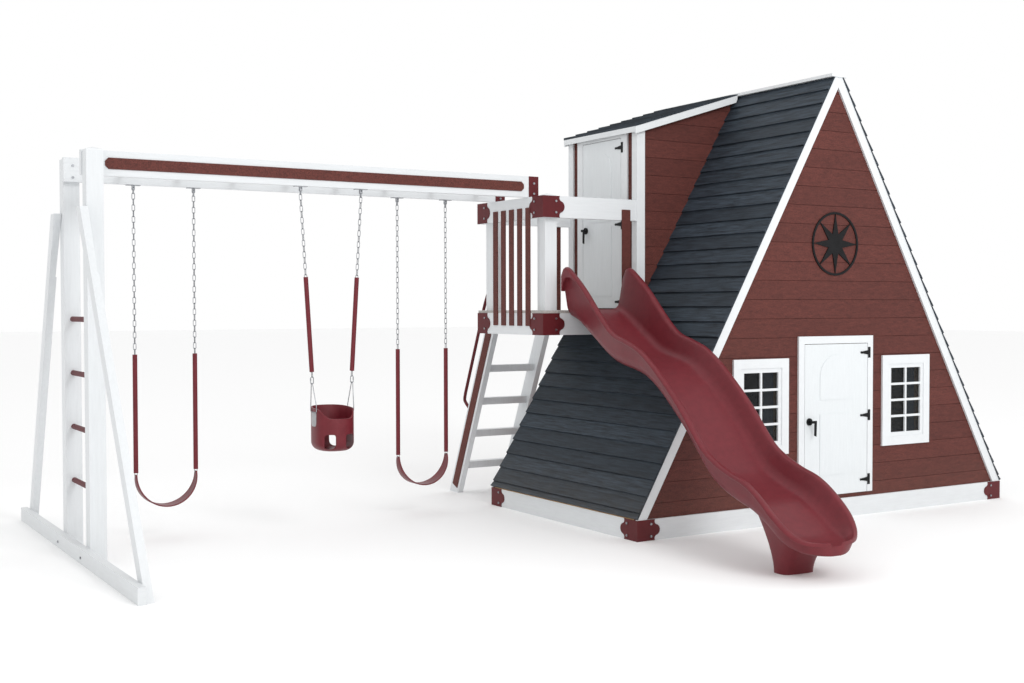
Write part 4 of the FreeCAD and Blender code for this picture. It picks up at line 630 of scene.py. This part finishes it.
# %% Cut the seat
def cut_mesh(mesh, cutters, ease):
    """Boolean difference with several cutters, then softened edges."""
    body = new_object("cut_body", mesh)
    helpers = []
    for index, cutter in enumerate(cutters):
        helper = new_object("cutter", cutter)
        helpers.append(helper)
        modifier = body.modifiers.new("cut_%d" % index, "BOOLEAN")
        modifier.object = helper
        modifier.operation = "DIFFERENCE"
        modifier.solver = "EXACT"
    bevel = body.modifiers.new("soft edges", "BEVEL")
    bevel.width = ease
    bevel.segments = 3
    bevel.limit_method = "ANGLE"
    bevel.angle_limit = math.radians(50)
    result = evaluated_mesh(body)
    for helper in helpers + [body]:
        bpy.data.objects.remove(helper)
    smooth(result, 40.0)
    return result


front_y, rear_y = bucket_y - bucket_half_depth, bucket_y + bucket_half_depth
above = 1.1
top_line = rounded([(front_y - .05, bucket_front, 0), (front_y + .020, bucket_front, .012),
                    (front_y + .080, bucket_back - .020, .03),
                    (rear_y - .030, bucket_back - .006, .02), (rear_y + .05, bucket_back, 0),
                    (rear_y + .05, above, 0), (front_y - .05, above, 0)], 6)
cutters = [bucket_block(bucket_wall, 1.0),
           prism(top_line, bucket_x - 0.3, bucket_x + 0.3, lambda p, end: Vector((end, p.x, p.y)))]
for side in (-1, 1):
    near, far = sorted((bucket_x + side * strap_half, bucket_x + side * (bucket_half - leg_margin)))
    leg = rounded([(near, leg_low, .034), (far, leg_low, .034), (far, leg_high, .02),
                   (near, leg_high, .02)], 6)
    for low, high in ((front_y - .02, front_y + .07), (rear_y - .07, rear_y + .02)):
        cutters.append(prism(leg, low, high, lambda p, end: Vector((p.x, end, p.y))))
seat = finished("bucket_seat", cut_mesh(bucket_block(0.0, 0.95), cutters, 0.0018), maroon,
                "bucket_swing", "bucket_swing_seat")

# %% Side pads
pad_half, pad_steps = 0.0395, 12
pad_inside, pad_outside = -0.001, 0.003
# share of the pad's full length at each height, because its lower corners are rounded
pad_levels = ((0.754, 0.55), (0.757, 0.75), (0.764, 0.92), (0.775, 1.0), (0.830, 1.0), (0.846, 1.0))
pad_meshes = []
for side in (-1, 1):
    rings = []
    for z, share in pad_levels:
        inner, outer = [], []
        for i in range(pad_steps + 1):
            v = pad_half * share * (2 * i / pad_steps - 1)
            for line, grow in ((inner, pad_inside), (outer, pad_outside)):
                hx, hy = bucket_half + grow, bucket_half_depth + grow
                # the side of the outline above, written as u for a given v
                u = hx * (1 - abs(v / hy) ** 2.5) ** 0.4
                line.append(Vector((bucket_x + side * u, bucket_y + v, z)))
        rings.append(inner + outer[::-1])
    pad_meshes.append(loft(rings, "pad"))
pads = finished("bucket_side_pads", join_meshes("bucket_side_pads", pad_meshes), grey_plastic,
                "bucket_swing", "bucket_swing_pads")

# %% [markdown]
# ## Chains
# A chain is one link repeated, each turned a quarter round from the last. Geometry Nodes resample a line
# to as many points as there are links and put a link on each; only the line and three sizes are needed.

# %% A helper that places a geometry node
link_length, link_width, link_wire = 0.0492, 0.023, 0.005
link_reach = link_length / 2 - link_wire


def add(tree, kind, links=(), **settings):
    """A node with its properties set and its inputs linked or filled in."""
    node = tree.nodes.new(kind)
    for label, value in settings.items():
        setattr(node, label, value)
    for label, value in links:
        socket = node.inputs[label]
        if isinstance(value, bpy.types.NodeSocket):
            tree.links.new(value, socket)
        else:
            socket.default_value = value
    return node


# %% The chain tree
chain_tree, given, result = open_tree(
    "chain", "GeometryNodeTree",
    [("Geometry", "NodeSocketGeometry", None), ("Links", "NodeSocketInt", 49),
     ("Link Length", "NodeSocketFloat", link_length), ("Link Width", "NodeSocketFloat", link_width),
     ("Wire", "NodeSocketFloat", link_wire), ("First Turn", "NodeSocketInt", 0),
     ("Material", "NodeSocketMaterial", None)],
    [("Geometry", "NodeSocketGeometry")])
half_wire = math_node(chain_tree, "MULTIPLY", given["Wire"], 0.5)
mid_width = math_node(chain_tree, "SUBTRACT", given["Link Width"], given["Wire"])
mid_length = math_node(chain_tree, "SUBTRACT", given["Link Length"], given["Wire"])
# a little under half the width, so that the fillets at each end don't meet
end_radius = math_node(chain_tree, "MULTIPLY", mid_width, 0.499)
frame_line = add(chain_tree, "GeometryNodeCurvePrimitiveQuadrilateral",
                 [("Width", mid_width), ("Height", mid_length)])
oval = add(chain_tree, "GeometryNodeFilletCurve",
           [("Curve", frame_line.outputs[0]), ("Radius", end_radius), ("Count", 4)],
           mode="POLY")
section = add(chain_tree, "GeometryNodeCurvePrimitiveCircle",
              [("Resolution", 6), ("Radius", half_wire)])
ring = add(chain_tree, "GeometryNodeCurveToMesh",
           [("Curve", oval.outputs[0]), ("Profile Curve", section.outputs[0])])
upright = add(chain_tree, "GeometryNodeTransform",
              [("Geometry", ring.outputs[0]), ("Rotation", (math.pi / 2, 0.0, 0.0))])
line = add(chain_tree, "GeometryNodeMeshToCurve", [("Mesh", given["Geometry"])])
beads = add(chain_tree, "GeometryNodeResampleCurve",
            [("Curve", line.outputs[0]), ("Count", given["Links"])])
facing = add(chain_tree, "FunctionNodeAlignRotationToVector",
             [("Vector", add(chain_tree, "GeometryNodeInputTangent").outputs[0])], axis="Z")
spline = add(chain_tree, "GeometryNodeSplineParameter")
number = math_node(chain_tree, "ADD", spline.outputs["Index"], given["First Turn"])
quarter = math_node(chain_tree, "MULTIPLY", number, math.pi / 2)
spin = add(chain_tree, "ShaderNodeCombineXYZ", [("Z", quarter)])
turned = add(chain_tree, "FunctionNodeRotateRotation",
             [("Rotation", facing.outputs[0]), ("Rotate By", spin.outputs[0])],
             rotation_space="LOCAL")
placed = add(chain_tree, "GeometryNodeInstanceOnPoints",
             [("Points", beads.outputs[0]), ("Instance", upright.outputs[0]),
              ("Rotation", turned.outputs[0])])
real = add(chain_tree, "GeometryNodeRealizeInstances", [("Geometry", placed.outputs[0])])
coloured = add(chain_tree, "GeometryNodeSetMaterial",
               [("Geometry", real.outputs[0]), ("Material", given["Material"])])
chain_tree.links.new(coloured.outputs[0], result["Geometry"])
print("geometry tree:", chain_tree.name)


def run_tree(tree, points, edges, name, values):
    """Evaluate a tree on a small mesh and keep the result as a plain mesh."""
    seed = bpy.data.meshes.new(name + "_seed")
    seed.from_pydata(points, edges, [])
    carrier = new_object(name + "_seed", seed)
    modifier = carrier.modifiers.new(name, "NODES")
    modifier.node_group = tree
    for item in tree.interface.items_tree:
        if item.in_out == "INPUT" and item.name in values:
            modifier[item.identifier] = values[item.name]
    mesh = evaluated_mesh(carrier)
    carrier.modifiers.clear()
    bpy.data.objects.remove(carrier)
    smooth(mesh, 60.0)
    return mesh


# %% [markdown]
# ## Round bars and small plates
# The eye plates, clips and the bucket's wire loops are too small to loft. A curve with a round bevel makes
# any bent bar, and a filled flat curve makes a plate with holes; both are turned into meshes at once.

# %% Bars and plates from curves
def bar(points, radius, closed=False, eased=False, name="bar"):
    """Round bar along points; eased makes the bends smooth."""
    curve = bpy.data.curves.new(name, "CURVE")
    curve.dimensions = "3D"
    spline = curve.splines.new("NURBS" if eased else "POLY")
    spline.points.add(len(points) - 1)
    for place, point in zip(spline.points, points):
        place.co = (*point, 1.0)
    if eased:
        spline.order_u = 3
        spline.use_endpoint_u = not closed
        spline.resolution_u = 8
    spline.use_cyclic_u = closed
    curve.bevel_depth = radius
    curve.bevel_resolution = 3
    curve.use_fill_caps = True
    return curve_mesh(curve, name)


def curve_mesh(curve, name):
    """A curve turned into a mesh."""
    holder = new_object(name, curve)
    mesh = evaluated_mesh(holder)
    bpy.data.objects.remove(holder)
    bpy.data.curves.remove(curve)
    smooth(mesh, 50.0)
    return mesh


def circle(u, v, radius, steps=20):
    """Points round a circle."""
    turns = [2 * math.pi * i / steps for i in range(steps)]
    return [(u + radius * math.cos(turn), v + radius * math.sin(turn)) for turn in turns]


def plate(outline, holes, thickness, name="plate"):
    """Flat plate with holes and a small bevel, standing in the YZ plane."""
    curve = bpy.data.curves.new(name, "CURVE")
    curve.dimensions = "2D"
    curve.fill_mode = "BOTH"
    for loop in [outline] + holes:
        spline = curve.splines.new("POLY")
        spline.points.add(len(loop) - 1)
        for place, (u, v) in zip(spline.points, loop):
            place.co = (u, v, 0.0, 1.0)
        spline.use_cyclic_u = True
    bevel = 0.0006
    curve.extrude = thickness / 2 - bevel
    curve.bevel_depth = bevel
    curve.bevel_resolution = 1
    curve.offset = -bevel
    mesh = curve_mesh(curve, name)
    mesh.transform(Matrix(((0, 0, 1, 0), (1, 0, 0, 0), (0, 1, 0, 0), (0, 0, 0, 1))))
    return mesh


def oval_points(middle, length, width, steps=6):
    """Closed stadium, long in Z, lying in the XZ plane."""
    radius = width / 2
    straight = length / 2 - radius
    points = []
    for sign in (1, -1):
        for i in range(steps + 1):
            turn = math.pi * i / steps
            u = sign * radius * math.cos(turn)
            v = sign * (straight + radius * math.sin(turn))
            points.append(middle + Vector((u, 0, v)))
    return points


eye_drop, eye_radius, eye_thickness = 0.026, 0.011, 0.006
pin_hole, link_hole = 0.0042, 0.006


def eye_plate(x, y):
    """The plate that swings on the pin and holds the first link."""
    turns = [math.pi * i / 10 for i in range(11)]
    outline = [(math.cos(t) * eye_radius, math.sin(t) * eye_radius) for t in turns]
    outline += [(-math.cos(t) * eye_radius, -eye_drop - math.sin(t) * eye_radius) for t in turns]
    mesh = plate(outline, [circle(0, 0, pin_hole), circle(0, -eye_drop, link_hole)], eye_thickness)
    mesh.transform(Matrix.Translation((x, y, pin_height)))
    return mesh


# %% [markdown]
# ## Swings put together
# Each swing's chains, eye plates, clips and wire loops move as one body, so they are joined into one mesh
# that stands for the plain CAD chains.

# %% Belt swing chains
link_seat, tab_seat = 0.00135, 0.0021
belt_links, bucket_links = 49, 32
tab_hole_height, tab_hole_radius = 0.437, 0.005
chain_top = pin_height - eye_drop - link_hole + link_seat - link_reach
belt_chain_bottom = tab_hole_height + tab_hole_radius - tab_seat + link_reach
for side, x in belt_places:
    body = "belt_swing_" + side
    ends = []
    for place in (x - belt_radius, x + belt_radius):
        ends += [(place, belt_y, belt_chain_bottom), (place, belt_y, chain_top)]
    links = run_tree(chain_tree, ends, [(0, 1), (2, 3)], body + "_links",
                     {"Links": belt_links, "Material": zinc})
    eyes = [eye_plate(place, belt_y) for place in (x - belt_radius, x + belt_radius)]
    chains = finished(body + "_chain_set", join_meshes(body + "_chain_set", [links] + eyes), zinc, body,
                      body + "_chains")

# %% Bucket swing chains, clips and wire loops
bucket_half_top, bucket_half_low = 0.2195, 0.146
bucket_chain_bottom = 1.105
clip_length, clip_width, wire_radius = 0.050, 0.020, 0.003
clip_reach = clip_length / 2 - wire_radius
gate_half, gate_rise, gate_radius = 0.009, 0.004, 0.0042
loop_rise, loop_gap = 0.0033, 0.0012
ends, fittings = [], []
for sign in (-1, 1):
    low = Vector((bucket_x + sign * bucket_half_low, bucket_y, bucket_chain_bottom))
    high = Vector((bucket_x + sign * bucket_half_top, bucket_y, chain_top))
    ends += [low, high]
    fittings.append(eye_plate(high.x, bucket_y))
    clip = low - Vector((0, 0, link_reach + clip_reach - link_seat))
    fittings.append(bar(oval_points(clip, clip_length, clip_width), wire_radius, closed=True))
    gate = clip + Vector((clip_width / 2 * sign, 0, gate_rise))
    reach = Vector((0, 0, gate_half))
    fittings.append(bar([gate - reach, gate + reach], gate_radius))
    apex = clip.z - clip_reach + loop_rise
    out = bucket_x + sign * (bucket_half + loop_gap)
    # the wire loop's bends on one side of its middle, from the clip down to the seat
    bends = [(low.x, 0.007, apex), (low.x + sign * 0.001, 0.011, apex - 0.006), (out, 0.048, 0.897),
             (out, 0.0495, 0.888), (out, 0.0495, 0.856), (out, 0.043, 0.850)]
    rear = [(x, bucket_y + y, z) for x, y, z in bends]
    front = [(x, bucket_y - y, z) for x, y, z in bends]
    fittings.append(bar(front[:1] + rear + front[:0:-1], wire_radius, closed=True))
links = run_tree(chain_tree, ends, [(0, 1), (2, 3)], "bucket_links",
                 {"Links": bucket_links, "First Turn": 1, "Material": zinc})
chains = finished("bucket_swing_chain_set", join_meshes("bucket_chain_set", [links] + fittings), zinc,
                  "bucket_swing", "bucket_swing_chains")

# %% [markdown]
# ## Handrail
# One steel tube is bent from the outer stile's back edge up to the deck post. A NURBS curve rounds its
# bends as a tube bender does.

# %% Bent handrail
rail_x, rail_standoff, rail_radius = -1.719, 0.130, 0.013
ladder_foot_y, ladder_lean, stile_depth = -0.0445 + 2.600, 0.437, 0.146


def stile_back(height, standoff):
    """A point behind the leaning stile, at a distance from its back edge."""
    return Vector((rail_x, ladder_foot_y - ladder_lean * height + stile_depth + standoff, height))


rail_path = [stile_back(0.713, -0.002), stile_back(0.765, 0.105)]
rail_path += [stile_back(height, rail_standoff) for height in (0.800, 0.95, 1.376, 1.56)]
rail_path += [stile_back(1.625, 0.122), Vector((-1.75, 2.02, 1.690)), Vector((-1.793, 1.899, 1.745))]
rail = finished("bent_handrail", bar(rail_path, rail_radius, eased=True), maroon_metal, "playset_frame",
                "ladder_handrail")

# %% [markdown]
# ## Curtains
# A pleated curtain hangs at the right of each window. It is a single sheet folded to and fro, so its cut
# width is the length of the folded line.

# %% Pleated curtains
cloth = finish("curtain cloth", srgb(84, 98, 112), srgb(132, 148, 164), (300.0, 300.0, 40.0),
               roughness=(0.8, 0.95), relief=0.0002, ground_darkening=0.0)
low, high = 0.572, 1.136
curtain_y = 0.0505
pleats, spread, depth = 9, 0.095, 0.010
rows, columns = 12, 72
for side, right_edge in (("left", -0.540), ("right", 0.932)):
    line = [(right_edge - spread * i / columns,
             curtain_y + depth / 2 * math.sin(2 * math.pi * pleats * i / columns))
            for i in range(columns + 1)]
    points = [(x, y, low + (high - low) * row / rows) for row in range(rows + 1) for x, y in line]
    corners = [row * (columns + 1) + i for row in range(rows) for i in range(columns)]
    faces = [(c, c + 1, c + columns + 2, c + columns + 1) for c in corners]
    mesh = bpy.data.meshes.new("curtain_" + side)
    mesh.from_pydata(points, [], faces)
    smooth(mesh, 80.0)
    replaced = ("window_curtains",) if side == "left" else ()
    curtain = finished("curtain_" + side, mesh, cloth, "playset_frame", *replaced)

# %% [markdown]
# ## Floor, light and camera
# The set stands on a plain pale floor in soft light from a bright sky, with one broad lamp high in front,
# so every face is readable and the shadows stay soft.

# %% Floor and lights
floor_mesh = bpy.data.meshes.new("floor")
floor_half, floor_front, floor_rear = 60, -40, 80
floor_corners = [(-floor_half, floor_front, 0), (floor_half, floor_front, 0),
                 (floor_half, floor_rear, 0), (-floor_half, floor_rear, 0)]
floor_mesh.from_pydata(floor_corners, [], [(0, 1, 2, 3)])
floor = new_object("floor", floor_mesh)
floor_finish = bpy.data.materials.new("pale floor")
floor_finish.use_nodes = True
floor_shader = floor_finish.node_tree.nodes["Principled BSDF"]
floor_shader.inputs["Base Color"].default_value = (0.95, 0.95, 0.95, 1)
floor_shader.inputs["Roughness"].default_value = 0.9
floor_mesh.materials.append(floor_finish)
floor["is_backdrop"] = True
sky = bpy.data.worlds.new("soft sky")
sky.use_nodes = True
sky.node_tree.nodes["Background"].inputs["Color"].default_value = (1, 1, 1, 1)
sky.node_tree.nodes["Background"].inputs["Strength"].default_value = 1.0
bpy.context.scene.world = sky
bpy.context.scene.view_settings.view_transform = "Standard"


def lamp(name, place, target, size, power):
    """A square lamp turned towards a target."""
    light = bpy.data.lights.new(name, "AREA")
    light.size = size
    light.energy = power
    made = new_object(name, light)
    made.location = place
    made.rotation_mode = "QUATERNION"
    made.rotation_quaternion = (Vector(target) - Vector(place)).to_track_quat("-Z", "Y")


lamp("key", place=(-2.0, -11.0, 8.0), target=(-1.5, 0.0, 1.0), size=5.0, power=620)
print("floor, sky and one lamp")

# %% Camera
yaw, pitch, roll = math.radians(31.446), math.radians(1.554), math.radians(-0.112)
level = math.cos(pitch)
forward = Vector((math.sin(yaw) * level, math.cos(yaw) * level, -math.sin(pitch)))
camera = new_object("camera", bpy.data.cameras.new("camera"))
camera.location = (-6.9077, -6.7644, 1.5565)
camera.rotation_mode = "QUATERNION"
camera.rotation_quaternion = forward.to_track_quat("-Z", "Y") @ Quaternion((0, 0, 1), roll)
camera.data.sensor_width = 36.0
camera.data.lens = 44.746734
camera.data.clip_end = 200.0
bpy.context.scene.camera = camera
print("camera with a", round(camera.data.lens, 1), "mm lens")

# %% Sizes, then finish
low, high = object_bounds()
print("visual box", [round(v, 3) for v in low], [round(v, 3) for v in high])
